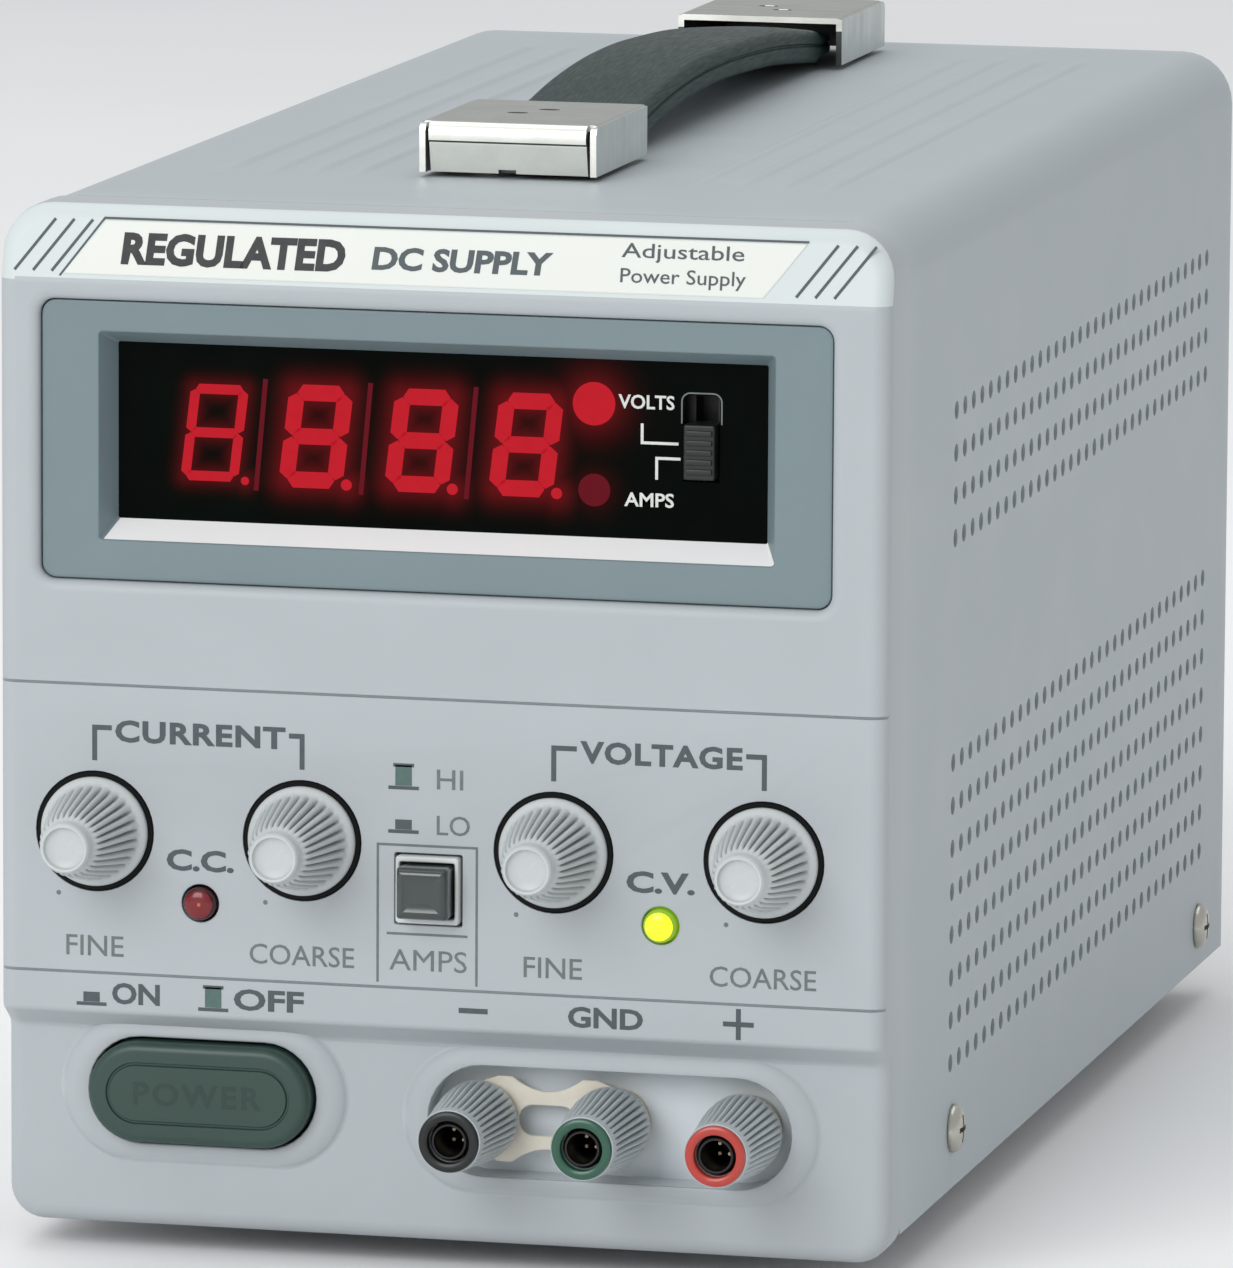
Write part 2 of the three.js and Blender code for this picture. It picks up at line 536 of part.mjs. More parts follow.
// ---------------------------------------------------------------- fasteners and feet
function sideScrew(side, y, z) {
  const out = COVER_HALF + GAP;
  const shank = [COVER_HALF - 6, out + 0.2];
  const head = [out, out + 1.5];
  const place = (r, [a, b], sides) => (side > 0 ? bar('x', r, a, b, [y, z], sides)
    : bar('x', r, -b, -a, [y, z], sides));
  const slot = [head[0] + 0.7, head[1] + 1];
  const cross = [[1.9, 0.35], [0.35, 1.9]].map(([dy, dz]) => block(
    side > 0 ? slot[0] : -slot[1], side > 0 ? slot[1] : -slot[0], y - dy, y + dy, z - dz, z + dz));
  return cut(join(place(1.4, shank, 10), place(3.4, head, 14)), ...cross);
}

function foot(x, y) {
  const geometry = new THREE.CylinderGeometry(7.4, 6.4, COVER_BOTTOM - GAP - FOOT_BOTTOM, 18);
  geometry.rotateX(Math.PI / 2);
  geometry.translate(x, y, (COVER_BOTTOM - GAP + FOOT_BOTTOM) / 2);
  return solid(geometry);
}

// ---------------------------------------------------------------- inner works
// Laminated core with two windows; the coil fills them round the middle limb.
const CORE = { x: -8, halfW: 48, y0: 150, y1: 200, z0: 6, z1: 86, limb: 16, coil: 12 };

function transformerCore() {
  const { x, halfW, y0, y1, z0, z1, limb } = CORE;
  const windows = [-1, 1].map((side) => {
    const [a, b] = [x + side * limb, x + side * (halfW - limb)];
    return block(Math.min(a, b), Math.max(a, b), y0 - 1, y1 + 1, z0 + limb, z1 - limb);
  });
  return cut(block(x - halfW, x + halfW, y0, y1, z0, z1), ...windows);
}

function transformerCoil() {
  const { x, halfW, y0, y1, z0, z1, limb, coil } = CORE;
  const outer = halfW - limb - GAP;
  return cut(block(x - outer, x + outer, y0 - coil, y1 + coil, z0 + limb + GAP, z1 - limb - GAP),
    block(x - limb - GAP, x + limb + GAP, y0 - GAP, y1 + GAP, z0, z1));
}

// ---------------------------------------------------------------- assembly
node('front_bezel', frontBezel(), M.bezel);
node('label_plate', labelPlate(), M.label);
node('display_frame', displayFrame(), M.frame);
node('display_window', displayWindow(), M.window);
node('digit_display', digitDisplay(), M.digit);
node('meter_board', block(-54, 54, 15.3, 16.9, 96, 134), M.board);
node('meter_switch', meterSwitch(), M.steel);
node('meter_slider', meterSlider(), M.black);
KNOB_X.forEach((x, i) => {
  node(`potentiometer_${i + 1}`, potentiometer(x), M.steel);
  node(`knob_${i + 1}`, knob(x), M.knob);
});
node('control_board', block(-58, 58, 23.7, 25.3, 38, 84), M.board);
node('cc_lamp', lamp(LAMPS.cc), M.red);
node('cv_lamp', lamp(LAMPS.cv), M.yellow);
node('amps_surround', ampsSurround(), M.knob);
node('amps_button', ampsButton(), M.button);
node('amps_switch', ampsSwitch(), M.black);
node('power_button', powerButton(), M.power);
node('power_switch', powerSwitch(), M.black);
['black', 'green', 'red'].forEach((colour, i) => {
  node(`post_${colour}`, post(i), M.brass);
  node(`washer_${colour}`, washer(i), M.nickel);
  node(`nut_${colour}`, nut(i), M.knob);
});
node('shorting_link', shortingLink(), M.link);
node('top_cover', topCover(), M.cover);
node('base_chassis', baseChassis(), M.steel);
node('rear_panel', rearPanel(), M.cover);
node('heat_sink', heatSink(), M.alloy);
node('mains_inlet', mainsInlet(), M.black);
node('fuse_cap', fuseCap(), M.black);
node('voltage_selector', voltageSelector(), M.black);
node('selector_slider', selectorSlider(), M.red);
node('handle_cap_front', handleCap(CAP.front, 1), M.nickel);
node('handle_cap_rear', handleCap(CAP.rear, -1), M.nickel);
node('strap_front', strapHalf(0, STRAP_HALVES_AT - 0.001, 16), M.strap);
node('strap_rear', strapHalf(STRAP_HALVES_AT + 0.001, 1, 16), M.strap);
for (const [side, name] of [[-1, 'left'], [1, 'right']]) {
  SCREWS.forEach(([y, z], i) => node(`side_screw_${name}_${i + 1}`, sideScrew(side, y, z), M.nickel));
  FEET.forEach(([x, y], i) => node(`foot_${name}_${i + 1}`, foot(side * x, y), M.rubber));
}
node('transformer_core', transformerCore(), M.core);
node('transformer_coil', transformerCoil(), M.copper);
node('main_board', block(-56, 56, 58, 144, 14, 15.6), M.board);
node('filter_capacitor_1', bar('z', 12.5, 15.9, 61, [-24, 80], 18), M.can);
node('filter_capacitor_2', bar('z', 12.5, 15.9, 61, [6, 80], 18), M.can);
node('bridge_rectifier', block(26, 54, 100, 128, 15.9, 24), M.black);

// The origin is the bottom centre of the whole object.
model.position.set(0, -(KNOB_FRONT + REAR_END) / 2, -FOOT_BOTTOM);

export default part;
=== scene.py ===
"""Looks of the bench power supply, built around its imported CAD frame.

Pieces are drawn in millimetres in the case's own axes: x to the right seen from the front, y back
from the bezel's face, z up from the bezel's bottom edge. place() moves them into the row frame.
"""

import math

import bpy
import bmesh
import numpy as np
from mathutils import Matrix, Vector


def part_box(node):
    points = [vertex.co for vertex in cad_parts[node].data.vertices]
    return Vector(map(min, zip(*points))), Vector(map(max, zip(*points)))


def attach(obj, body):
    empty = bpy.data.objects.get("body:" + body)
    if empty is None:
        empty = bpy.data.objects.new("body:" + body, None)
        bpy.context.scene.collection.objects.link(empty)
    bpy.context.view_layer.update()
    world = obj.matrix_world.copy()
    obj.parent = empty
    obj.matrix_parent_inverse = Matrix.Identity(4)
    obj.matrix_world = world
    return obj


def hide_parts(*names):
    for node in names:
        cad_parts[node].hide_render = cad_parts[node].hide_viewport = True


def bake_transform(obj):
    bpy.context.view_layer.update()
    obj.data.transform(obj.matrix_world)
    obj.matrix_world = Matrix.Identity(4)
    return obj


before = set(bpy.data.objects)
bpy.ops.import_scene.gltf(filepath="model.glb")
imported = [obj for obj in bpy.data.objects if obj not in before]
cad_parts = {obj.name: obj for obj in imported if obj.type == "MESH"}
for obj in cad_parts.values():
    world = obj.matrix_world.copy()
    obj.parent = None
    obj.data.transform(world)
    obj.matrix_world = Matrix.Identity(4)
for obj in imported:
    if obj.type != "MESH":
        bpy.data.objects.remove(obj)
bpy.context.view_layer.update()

MM = 0.001
BEZEL_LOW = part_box("front_bezel")[0]
CASE_ORIGIN = Vector((0, BEZEL_LOW.y, BEZEL_LOW.z))


def case_box(node):
    """A CAD node's lowest and highest corners in case millimetres."""
    low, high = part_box(node)
    return (low - CASE_ORIGIN) / MM, (high - CASE_ORIGIN) / MM


def middle(node):
    low, high = case_box(node)
    return (low + high) / 2


# ---------------------------------------------------------------- dimensions, in millimetres
HALF_W, BEZEL_D, CASE_H = case_box("front_bezel")[1]
CASE_D = case_box("top_cover")[1].y
BAND_Z, BAND_LEAN = 134.5, 2.6
STEP_Z, STEP_RUN, LOWER_Y = 31.3, 2.7, 3.8
GROOVES = (78.0, 36.9)
GROOVE_HALF, GROOVE_DEPTH = 0.17, 0.55
COLLAR_Y = 2.5
PRINT_Y = -0.03
EDGE_R = 2.5

KNOBS = ["knob_1", "knob_2", "knob_3", "knob_4"]
KNOB_AT = [middle(n) for n in KNOBS]
LAMP_AT = {n: middle(n) for n in ("cc_lamp", "cv_lamp")}
POWER_FRONT = case_box("power_button")[0].y
POWER_AT = middle("power_button")
POWER_HALF = (16.2, 7.2)
POWER_GAP = 0.4
AMPS_AT = middle("amps_surround")
POST_AT = [middle("post_" + c) for c in ("black", "green", "red")]
POCKET = {"half_w": 26.2, "half_h": 7.9, "floor": 8.0, "wall": 2.4}
KNOB_SEAT_R, KNOB_SEAT_Y = 8.6, 1.1

DISPLAY_LOW, DISPLAY_HIGH = (-58.1, 92.6), (55.9, 132.3)
DISPLAY_R = 2.2
WINDOW_LOW, WINDOW_HIGH = (-47.9, 101.0), (45.7, 126.0)
MOUTH_LOW, MOUTH_HIGH = (-49.6, 98.4), (47.4, 127.7)
WINDOW_Y = 5.3
SLIDER_AT = middle("meter_slider")
SLOT_HALF, SLOT_Z = 2.6, (109.3, 121.4)

SHEET = 1.2
MIDDLE_LINE_Z = 84.0
COVER_HALF, COVER_R, COVER_BOTTOM = 63.8, 8.0, 3.0
VENT_ROWS = [(115.3 - 6.1 * i, 3.05) for i in range(4)] + [(64.8 - 6.2 * i, 3.1) for i in range(8)]
VENT_Y0, VENT_PITCH, VENT_HOLES, VENT_R = 44.8, 5.75, 33, 1.35
RIBS_X = (25.0, 31.2, 37.4, 44.2)
RIB_HALF, RIB_H = 1.5, 0.45
SCREWS_YZ = ((46.4, 11.7), (228.0, 9.6))


# ---------------------------------------------------------------- materials
def hexcolor(r, g, b):
    """A colour given as 0-255 screen values, in linear light."""
    return tuple(
        (c / 255 / 12.92 if c <= 10 else ((c / 255 + 0.055) / 1.055) ** 2.4) for c in (r, g, b)
    ) + (1.0,)


class Nodes:
    """A small wrapper that adds nodes to one material and links them."""

    def __init__(self, name):
        self.material = bpy.data.materials.new(name)
        self.material.use_nodes = True
        self.tree = self.material.node_tree
        self.shader = self.tree.nodes["Principled BSDF"]

    def add(self, kind, links=None, **values):
        node = self.tree.nodes.new(kind)
        for key, value in values.items():
            if key in node.inputs:
                node.inputs[key].default_value = value
            else:
                setattr(node, key, value)
        for key, source in (links or {}).items():
            self.tree.links.new(source, node.inputs[key])
        return node

    def link(self, source, socket):
        self.tree.links.new(source, self.shader.inputs[socket])

    def coordinates(self, scale=(1, 1, 1)):
        where = self.add("ShaderNodeTexCoord")
        mapping = self.add("ShaderNodeMapping", {"Vector": where.outputs["Object"]})
        mapping.inputs["Scale"].default_value = scale
        return mapping.outputs["Vector"]

    def noise(self, vector, scale, detail=3.0, roughness=0.55):
        return self.add("ShaderNodeTexNoise", {"Vector": vector},
                        Scale=scale, Detail=detail, Roughness=roughness).outputs["Fac"]

    def spread(self, value, low, high):
        """value, which lies near 0.5, stretched to run from low to high."""
        return self.add("ShaderNodeMapRange", {"Value": value}, **{
            "From Min": 0.3, "From Max": 0.7, "To Min": low, "To Max": high}).outputs["Result"]

    def tint(self, value, dark, light):
        ramp = self.add("ShaderNodeValToRGB", {"Fac": value})
        ramp.color_ramp.elements[0].position = 0.3
        ramp.color_ramp.elements[0].color = dark
        ramp.color_ramp.elements[1].position = 0.7
        ramp.color_ramp.elements[1].color = light
        return ramp.outputs["Color"]

    def bump(self, height, strength, distance, normal=None):
        links = {"Height": height}
        if normal is not None:
            links["Normal"] = normal
        return self.add("ShaderNodeBump", links, Strength=strength, Distance=distance).outputs["Normal"]


def shade(color, amount):
    return tuple(min(1.0, c * amount) for c in color[:3]) + (1.0,)


def mixed(n, factor, base, other):
    """base turned towards the plain colour other where factor is high."""
    mix = n.add("ShaderNodeMix", data_type="RGBA")
    n.tree.links.new(factor, mix.inputs[0])
    n.tree.links.new(base, mix.inputs[6])
    mix.inputs[7].default_value = other
    return mix.outputs[2]


def finish(name, color, roughness, metallic=0.0, vary=0.05, blotch=60, grain=3000,
           grain_depth=0.00002, grain_strength=0.3, stretch=(1, 1, 1), coat=0.0, wear=0.0, groove=0.0,
           specular=0.5):
    """A material with soft colour blotches, a fine surface grain and uneven gloss."""
    n = Nodes(name)
    n.shader.inputs["Metallic"].default_value = metallic
    n.shader.inputs["Coat Weight"].default_value = coat
    n.shader.inputs["Coat Roughness"].default_value = 0.15
    n.shader.inputs["Specular IOR Level"].default_value = specular
    where = n.coordinates(stretch)
    patches = n.noise(where, blotch)
    fine = n.noise(where, grain, detail=2.0)
    base = n.tint(patches, shade(color, 1 - vary), shade(color, 1 + vary))
    if wear:
        point = n.add("ShaderNodeNewGeometry").outputs["Pointiness"]
        edge = n.add("ShaderNodeMapRange", {"Value": point}, **{
            "From Min": 0.53, "From Max": 0.62, "To Min": 0.0, "To Max": wear}).outputs["Result"]
        base = mixed(n, edge, base, shade(color, 1.35))
    # groove darkens the flutes marked on the mesh towards black: painted shade in the flutes.
    if groove:
        depth = n.add("ShaderNodeAttribute", attribute_name="groove").outputs["Fac"]
        flute_painted_shade = n.add("ShaderNodeMapRange", {"Value": depth}, **{
            "From Min": 0.25, "From Max": 0.9, "To Min": 0.0, "To Max": groove}).outputs["Result"]
        base = mixed(n, flute_painted_shade, base, shade(color, 0.22))
    n.link(base, "Base Color")
    n.link(n.spread(patches, roughness * 0.9, min(1.0, roughness * 1.1)), "Roughness")
    n.link(n.bump(fine, grain_strength, grain_depth), "Normal")
    return n.material


def brushed(name, color, roughness, along, vary=0.06):
    """Plated or rolled metal with fine scratches along one axis."""
    stretch = [900.0, 900.0, 900.0]
    stretch["xyz".index(along)] = 30.0
    n = Nodes(name)
    n.shader.inputs["Metallic"].default_value = 1.0
    where = n.coordinates()
    streaks = n.noise(n.coordinates(tuple(stretch)), 1.0, detail=4.0)
    spots = n.noise(where, 180, detail=4.0)
    n.link(n.tint(spots, shade(color, 1 - vary), shade(color, 1 + vary)), "Base Color")
    n.link(n.spread(streaks, roughness * 0.75, roughness * 1.35), "Roughness")
    first = n.bump(streaks, 0.35, 0.00002)
    n.link(n.bump(spots, 0.3, 0.00008, first), "Normal")
    return n.material


def lamp_material(name, color, glow, strength, roughness=0.25, coat=0.3, specular=0.4):
    n = Nodes(name)
    where = n.coordinates()
    n.link(n.tint(n.noise(where, 500), shade(color, 0.85), shade(color, 1.15)), "Base Color")
    n.shader.inputs["Roughness"].default_value = roughness
    n.shader.inputs["Coat Weight"].default_value = coat
    n.shader.inputs["Specular IOR Level"].default_value = specular
    n.shader.inputs["Emission Color"].default_value = glow
    n.shader.inputs["Emission Strength"].default_value = strength
    n.link(n.bump(n.noise(where, 900), 0.15, 0.00003), "Normal")
    return n.material


def glowing_window(name):
    """Smoked filter: nearly black gloss, with the red light of the digits spreading in it."""
    n = Nodes(name)
    where = n.coordinates()
    n.link(n.tint(n.noise(where, 90), hexcolor(1, 4, 2), hexcolor(3, 8, 5)), "Base Color")
    n.shader.inputs["Roughness"].default_value = 0.2
    n.shader.inputs["Specular IOR Level"].default_value = 0.03
    glow = n.add("ShaderNodeAttribute", attribute_name="glow").outputs["Fac"]
    red = n.add("ShaderNodeValToRGB", {"Fac": glow})
    red.color_ramp.elements[0].color = (0, 0, 0, 1)
    red.color_ramp.elements[1].color = hexcolor(140, 16, 28)
    n.link(red.outputs["Color"], "Emission Color")
    n.shader.inputs["Emission Strength"].default_value = 1.0
    n.link(n.bump(n.noise(where, 1500), 0.08, 0.00001), "Normal")
    return n.material


def grained_rubber(name, color):
    n = Nodes(name)
    where = n.coordinates()
    long_grain = n.noise(n.coordinates((2600.0, 160.0, 2600.0)), 1.0, detail=5.0)
    n.link(n.tint(n.noise(where, 45), shade(color, 0.9), shade(color, 1.1)), "Base Color")
    n.link(n.spread(long_grain, 0.42, 0.62), "Roughness")
    first = n.bump(long_grain, 0.4, 0.00004)
    n.link(n.bump(n.noise(where, 5200, detail=1.0), 0.35, 0.00003, first), "Normal")
    n.shader.inputs["Specular IOR Level"].default_value = 0.2
    return n.material


def make_materials():
    plastic = dict(grain=2600, grain_depth=0.00003, grain_strength=0.25)
    paint = dict(grain=1300, grain_depth=0.00004, grain_strength=0.35)
    flat = dict(roughness=0.5, coat=0.0, specular=0.03)
    return {
        "bezel": finish("bezel_plastic", hexcolor(172, 178, 182), 0.5, wear=0.25, vary=0.02, **plastic),
        # A lighter copy of the bezel plastic for the band that leans up to the light: painted light.
        "band_painted_light": finish("band_plastic_painted_light", hexcolor(202, 210, 210), 0.5, wear=0.25, vary=0.02, **plastic),
        # A lighter copy of the bezel plastic for the terminal pocket: painted light.
        "pocket": finish("pocket_plastic_painted_light", hexcolor(214, 221, 226), 0.5, vary=0.02, **plastic),
        "band": finish("label_film", hexcolor(216, 219, 213), 0.42, vary=0.015, grain=4000),
        "ink": finish("panel_ink", hexcolor(72, 82, 86), 0.6, vary=0.12, blotch=700),
        "pale_ink": finish("pale_ink", hexcolor(104, 112, 112), 0.6, vary=0.12, blotch=700),
        "black_ink": finish("black_ink", hexcolor(34, 36, 38), 0.55, vary=0.12, blotch=700),
        "white_ink": finish("white_ink", hexcolor(206, 210, 206), 0.6, vary=0.05, blotch=700),
        "teal_ink": finish("teal_ink", hexcolor(78, 104, 100), 0.6, vary=0.12, blotch=700),
        "frame": finish("display_frame", hexcolor(114, 131, 136), 0.45, vary=0.03, **plastic),
        # White for the display frame's upward-facing lower ledge: painted highlight.
        "ledge": finish("display_ledge_painted_highlight", hexcolor(236, 236, 236), 0.3, vary=0.01, coat=0.2, **plastic),
        "window": glowing_window("smoked_window"),
        "cover": finish("cover_paint", hexcolor(170, 178, 182), 0.48, wear=0.2, vary=0.02, **paint),
        # The knob flutes get painted shade through groove.
        "knob": finish("knob_plastic", hexcolor(190, 195, 195), 0.4, wear=0.3, vary=0.02, groove=0.6,
                       coat=0.1, **plastic),
        "surround": finish("button_surround", hexcolor(196, 200, 199), 0.4, wear=0.3, vary=0.02, **plastic),
        # Black standing in for the shadow in the gap round each knob: painted shadow.
        "ring": finish("knob_gap_painted_shadow", hexcolor(8, 9, 9), 0.5, vary=0.1, specular=0.15, **plastic),
        "power": finish("power_button", hexcolor(42, 67, 60), 0.42, vary=0.05, coat=0.05, **plastic),
        "power_mark": finish("power_mark", hexcolor(36, 58, 52), 0.5, vary=0.05, **plastic),
        "button": finish("dark_button", hexcolor(46, 56, 54), 0.22, vary=0.06, coat=0.6, **plastic),
        "black": finish("black_plastic", hexcolor(22, 24, 24), 0.4, vary=0.1, **plastic),
        "socket": finish("socket_black", hexcolor(12, 12, 12), 0.4, vary=0.1, **plastic),
        "green": finish("green_ring", hexcolor(36, 84, 66), 0.3, vary=0.06, coat=0.2, **plastic),
        "red": finish("red_ring", hexcolor(178, 56, 46), 0.3, vary=0.06, coat=0.2, **plastic),
        "rubber": finish("foot_rubber", hexcolor(34, 35, 36), 0.8, vary=0.12, **paint),
        "strap": grained_rubber("strap_rubber", hexcolor(42, 58, 55)),
        # Copies of one nickel lit differently for the handle caps: the side copy painted lighter, the flap
        # copy a painted highlight, the shade copy painted shade.
        "nickel": brushed("nickel", (0.41, 0.42, 0.40, 1), 0.36, "x"),
        "nickel_side_painted_light": brushed("nickel_side_painted_light", (0.60, 0.64, 0.63, 1), 0.4, "z"),
        "nickel_flap_painted_highlight": brushed("nickel_flap_painted_highlight", (0.86, 0.86, 0.80, 1), 0.4, "x"),
        "nickel_shade": brushed("nickel_shade", (0.10, 0.10, 0.10, 1), 0.5, "x"),
        "screw": brushed("screw_nickel", (0.50, 0.49, 0.44, 1), 0.3, "x"),
        "brass": brushed("brass", (0.55, 0.44, 0.28, 1), 0.3, "y"),
        # The nut flutes get painted shade through groove.
        "nut": finish("nut_plating", hexcolor(186, 193, 196), 0.34, metallic=0.15, vary=0.04, groove=0.72,
                      grain=1800),
        "link": finish("link_metal", hexcolor(222, 216, 202), 0.38, metallic=0.1, vary=0.06,
                       blotch=260, grain=900, grain_depth=0.00006),
        "steel": brushed("steel", (0.55, 0.56, 0.57, 1), 0.38, "y"),
        "alloy": brushed("black_alloy", (0.045, 0.047, 0.05, 1), 0.45, "z"),
        "core": finish("core_steel", (0.12, 0.11, 0.10, 1), 0.5, metallic=0.7, grain=400,
                       stretch=(1, 1, 6)),
        "copper": finish("coil_copper", (0.42, 0.17, 0.06, 1), 0.35, metallic=0.8, stretch=(1, 1, 8),
                         grain=260, grain_depth=0.0003, grain_strength=0.6),
        "board": finish("circuit_board", hexcolor(36, 92, 58), 0.45, vary=0.12, blotch=350, coat=0.2),
        "sleeve": finish("capacitor_sleeve", hexcolor(36, 58, 100), 0.35, vary=0.05, coat=0.2),
        "digit_core": lamp_material("digit_core", hexcolor(90, 12, 18), hexcolor(172, 24, 36), 1.0, **flat),
        "digit_dim": lamp_material("digit_dim", hexcolor(40, 8, 12), hexcolor(92, 14, 24), 1.0, **flat),
        "lamp_red": lamp_material("lamp_red", hexcolor(96, 16, 22), hexcolor(90, 10, 16), 0.6),
        "lamp_on": lamp_material("lamp_on", hexcolor(200, 205, 30), hexcolor(236, 232, 24), 1.0),
        "lamp_rim": lamp_material("lamp_rim", hexcolor(120, 150, 40), hexcolor(120, 165, 20), 0.6),
        "lamp_core": lamp_material("lamp_core", hexcolor(240, 190, 20), hexcolor(250, 214, 16), 1.0),
        "lamp_dark": lamp_material("lamp_dark", hexcolor(44, 10, 14), hexcolor(30, 4, 6), 0.3),
        # Glowing specks for the unlit C.C. lamp: painted glints.
        "lamp_spark": lamp_material("lamp_spark", hexcolor(160, 80, 60), hexcolor(150, 70, 52), 0.6),
    }


MATERIAL = make_materials()


# ---------------------------------------------------------------- mesh helpers
def place(bm):
    """From case millimetres to the row frame in metres."""
    bmesh.ops.scale(bm, vec=(MM, MM, MM), verts=bm.verts)
    bmesh.ops.translate(bm, vec=CASE_ORIGIN, verts=bm.verts)


def piece(name, bm, materials, body="case", replaces=(), angle=34):
    """A finished object from a bmesh, riding on a CAD body."""
    place(bm)
    bmesh.ops.recalc_face_normals(bm, faces=bm.faces)
    mesh = bpy.data.meshes.new(name)
    bm.to_mesh(mesh)
    bm.free()
    for m in [materials] if isinstance(materials, str) else materials:
        mesh.materials.append(MATERIAL[m])
    mesh.shade_smooth()
    mesh.set_sharp_from_angle(angle=math.radians(angle))
    obj = bpy.data.objects.new(name, mesh)
    bpy.context.scene.collection.objects.link(obj)
    even = obj.modifiers.new("even_shading", "WEIGHTED_NORMAL")
    even.keep_sharp = True
    if body:
        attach(obj, body)
    if replaces:
        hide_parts(*replaces)
    return obj


def loft(bm, rings, caps=True, material=0, fan=False):
    """Joins rings of 3-D points, each with the same count, by quads."""
    made = [[bm.verts.new(p) for p in ring] for ring in rings]
    count = len(rings[0])
    faces = []
    for a, b in zip(made, made[1:]):
        for i in range(count):
            j = (i + 1) % count
            faces.append(bm.faces.new((a[i], a[j], b[j], b[i])))
    for ring in (made[0], made[-1]) if caps else ():
        if fan:
            centre = bm.verts.new(sum((v.co for v in ring), Vector()) / count)
            faces += [bm.faces.new((ring[i - 1], ring[i], centre)) for i in range(count)]
        else:
            faces.append(bm.faces.new(ring))
    for f in faces:
        f.material_index = material
    return made


def loft_ring(rings):
    """Rings of points joined one to the next, and the last to the first."""
    bm = bmesh.new()
    made = loft(bm, rings, caps=False)
    count = len(made[0])
    for i in range(count):
        j = (i + 1) % count
        bm.faces.new((made[-1][i], made[-1][j], made[0][j], made[0][i]))
    return bm


def arc(cx, cz, r, start, end, steps):
    return [(cx + r * math.cos(math.radians(start + (end - start) * k / steps)),
             cz + r * math.sin(math.radians(start + (end - start) * k / steps)))
            for k in range(steps + 1)]


def rounded(low, high, r_top, r_bottom=None, steps=6, grow=0.0):
    """Outline in x and z of a rectangle with rounded corners, grown outwards by grow."""
    r_bottom = r_top if r_bottom is None else r_bottom
    x0, z0, x1, z1 = low[0] - grow, low[1] - grow, high[0] + grow, high[1] + grow
    t, b = max(0.05, r_top + grow), max(0.05, r_bottom + grow)
    return (arc(x1 - b, z0 + b, b, -90, 0, steps) + arc(x1 - t, z1 - t, t, 0, 90, steps)
            + arc(x0 + t, z1 - t, t, 90, 180, steps) + arc(x0 + b, z0 + b, b, 180, 270, steps))


def oval(at, half_w, half_h, grow=0.0, steps=16):
    """Outline of a bar with half-round ends, grown outwards by grow."""
    h = half_h + grow
    run = half_w - half_h
    return (arc(at.x + run, at.z, h, -90, 90, steps) + arc(at.x - run, at.z, h, 90, 270, steps))


def rings_along_y(outline, stations):
    """Rings for loft(); stations are (grow, y) pairs and outline(grow) gives x, z points."""
    return [[(x, y, z) for x, z in outline(grow)] for grow, y in stations]


def turned(bm, profile, at, sides=48, ripple=None, material=0, caps=True):
    """A shape turned about a y axis; profile holds (radius, y) and ripple(k, angle) scales a ring."""
    rings = []
    for k, (r, y) in enumerate(profile):
        ring = []
        for i in range(sides):
            a = 2 * math.pi * i / sides
            rr = r * (ripple(k, a) if ripple else 1.0)
            ring.append((at.x + rr * math.cos(a), y, at.z + rr * math.sin(a)))
        rings.append(ring)
    return loft(bm, rings, caps, material, fan=True)


def turned_shape(profile, at, sides=48):
    bm = bmesh.new()
    turned(bm, profile, at, sides)
    return bm


def turned_ring(profile, at, sides, ripple=None):
    """A ring turned about a y axis from a section that closes on itself."""
    bm = bmesh.new()
    turned(bm, profile + profile[:1], at, sides, ripple, caps=False)
    bmesh.ops.remove_doubles(bm, verts=bm.verts, dist=1e-4)
    return bm


def box_shape(low, high):
    bm = bmesh.new()
    x0, y0, z0 = low
    x1, y1, z1 = high
    loft(bm, [[(x0, y, z0), (x1, y, z0), (x1, y, z1), (x0, y, z1)] for y in (y0, y1)])
    return bm


def soft_box(bm, low, high, r, segments=2):
    """Adds a box with rounded edges."""
    part = box_shape(low, high)
    bmesh.ops.recalc_face_normals(part, faces=part.faces)
    bmesh.ops.bevel(part, geom=list(part.edges), offset=r, segments=segments, profile=0.5,
                    affect="EDGES")
    merge(bm, part)


def merge(bm, other, material=0):
    """Adds other to bm as it is."""
    table = {v: bm.verts.new(v.co) for v in other.verts}
    for f in other.faces:
        bm.faces.new([table[v] for v in f.verts]).material_index = material
    other.free()


def temp_object(bm):
    bmesh.ops.recalc_face_normals(bm, faces=bm.faces)
    mesh = bpy.data.meshes.new("tool")
    bm.to_mesh(mesh)
    bm.free()
    obj = bpy.data.objects.new("tool", mesh)
    bpy.context.scene.collection.objects.link(obj)
    return obj


def combine(bm, joins=(), cuts=()):
    """bm with the shapes in joins added and those in cuts taken away."""
    base = temp_object(bm)
    tools = []
    for operation, shapes in (("UNION", joins), ("DIFFERENCE", cuts)):
        for shape in shapes:
            tool = temp_object(shape)
            tools.append(tool)
            m = base.modifiers.new("cut", "BOOLEAN")
            m.operation, m.object, m.solver = operation, tool, "EXACT"
    bpy.context.view_layer.update()
    result = bmesh.new()
    result.from_object(base, bpy.context.evaluated_depsgraph_get())
    bmesh.ops.remove_doubles(result, verts=result.verts, dist=0.0005)
    for o in [base] + tools:
        mesh = o.data
        bpy.data.objects.remove(o)
        bpy.data.meshes.remove(mesh)
    return result


def mouth(outline, top, floor, flare=0.4, steps=3, dip=None):
    """A cutter for an opening with a rounded lip at y top, and its flat floor at y floor."""
    dip = flare if dip is None else dip
    stations = [(flare + 0.001, top - 3)]
    for k in range(steps + 1):
        a = math.pi / 2 * k / steps
        stations.append((flare * (1 - math.sin(a)), top + dip * (1 - math.cos(a))))
    stations.append((0.0, floor))
    bm = bmesh.new()
    loft(bm, rings_along_y(outline, stations))
    return bm


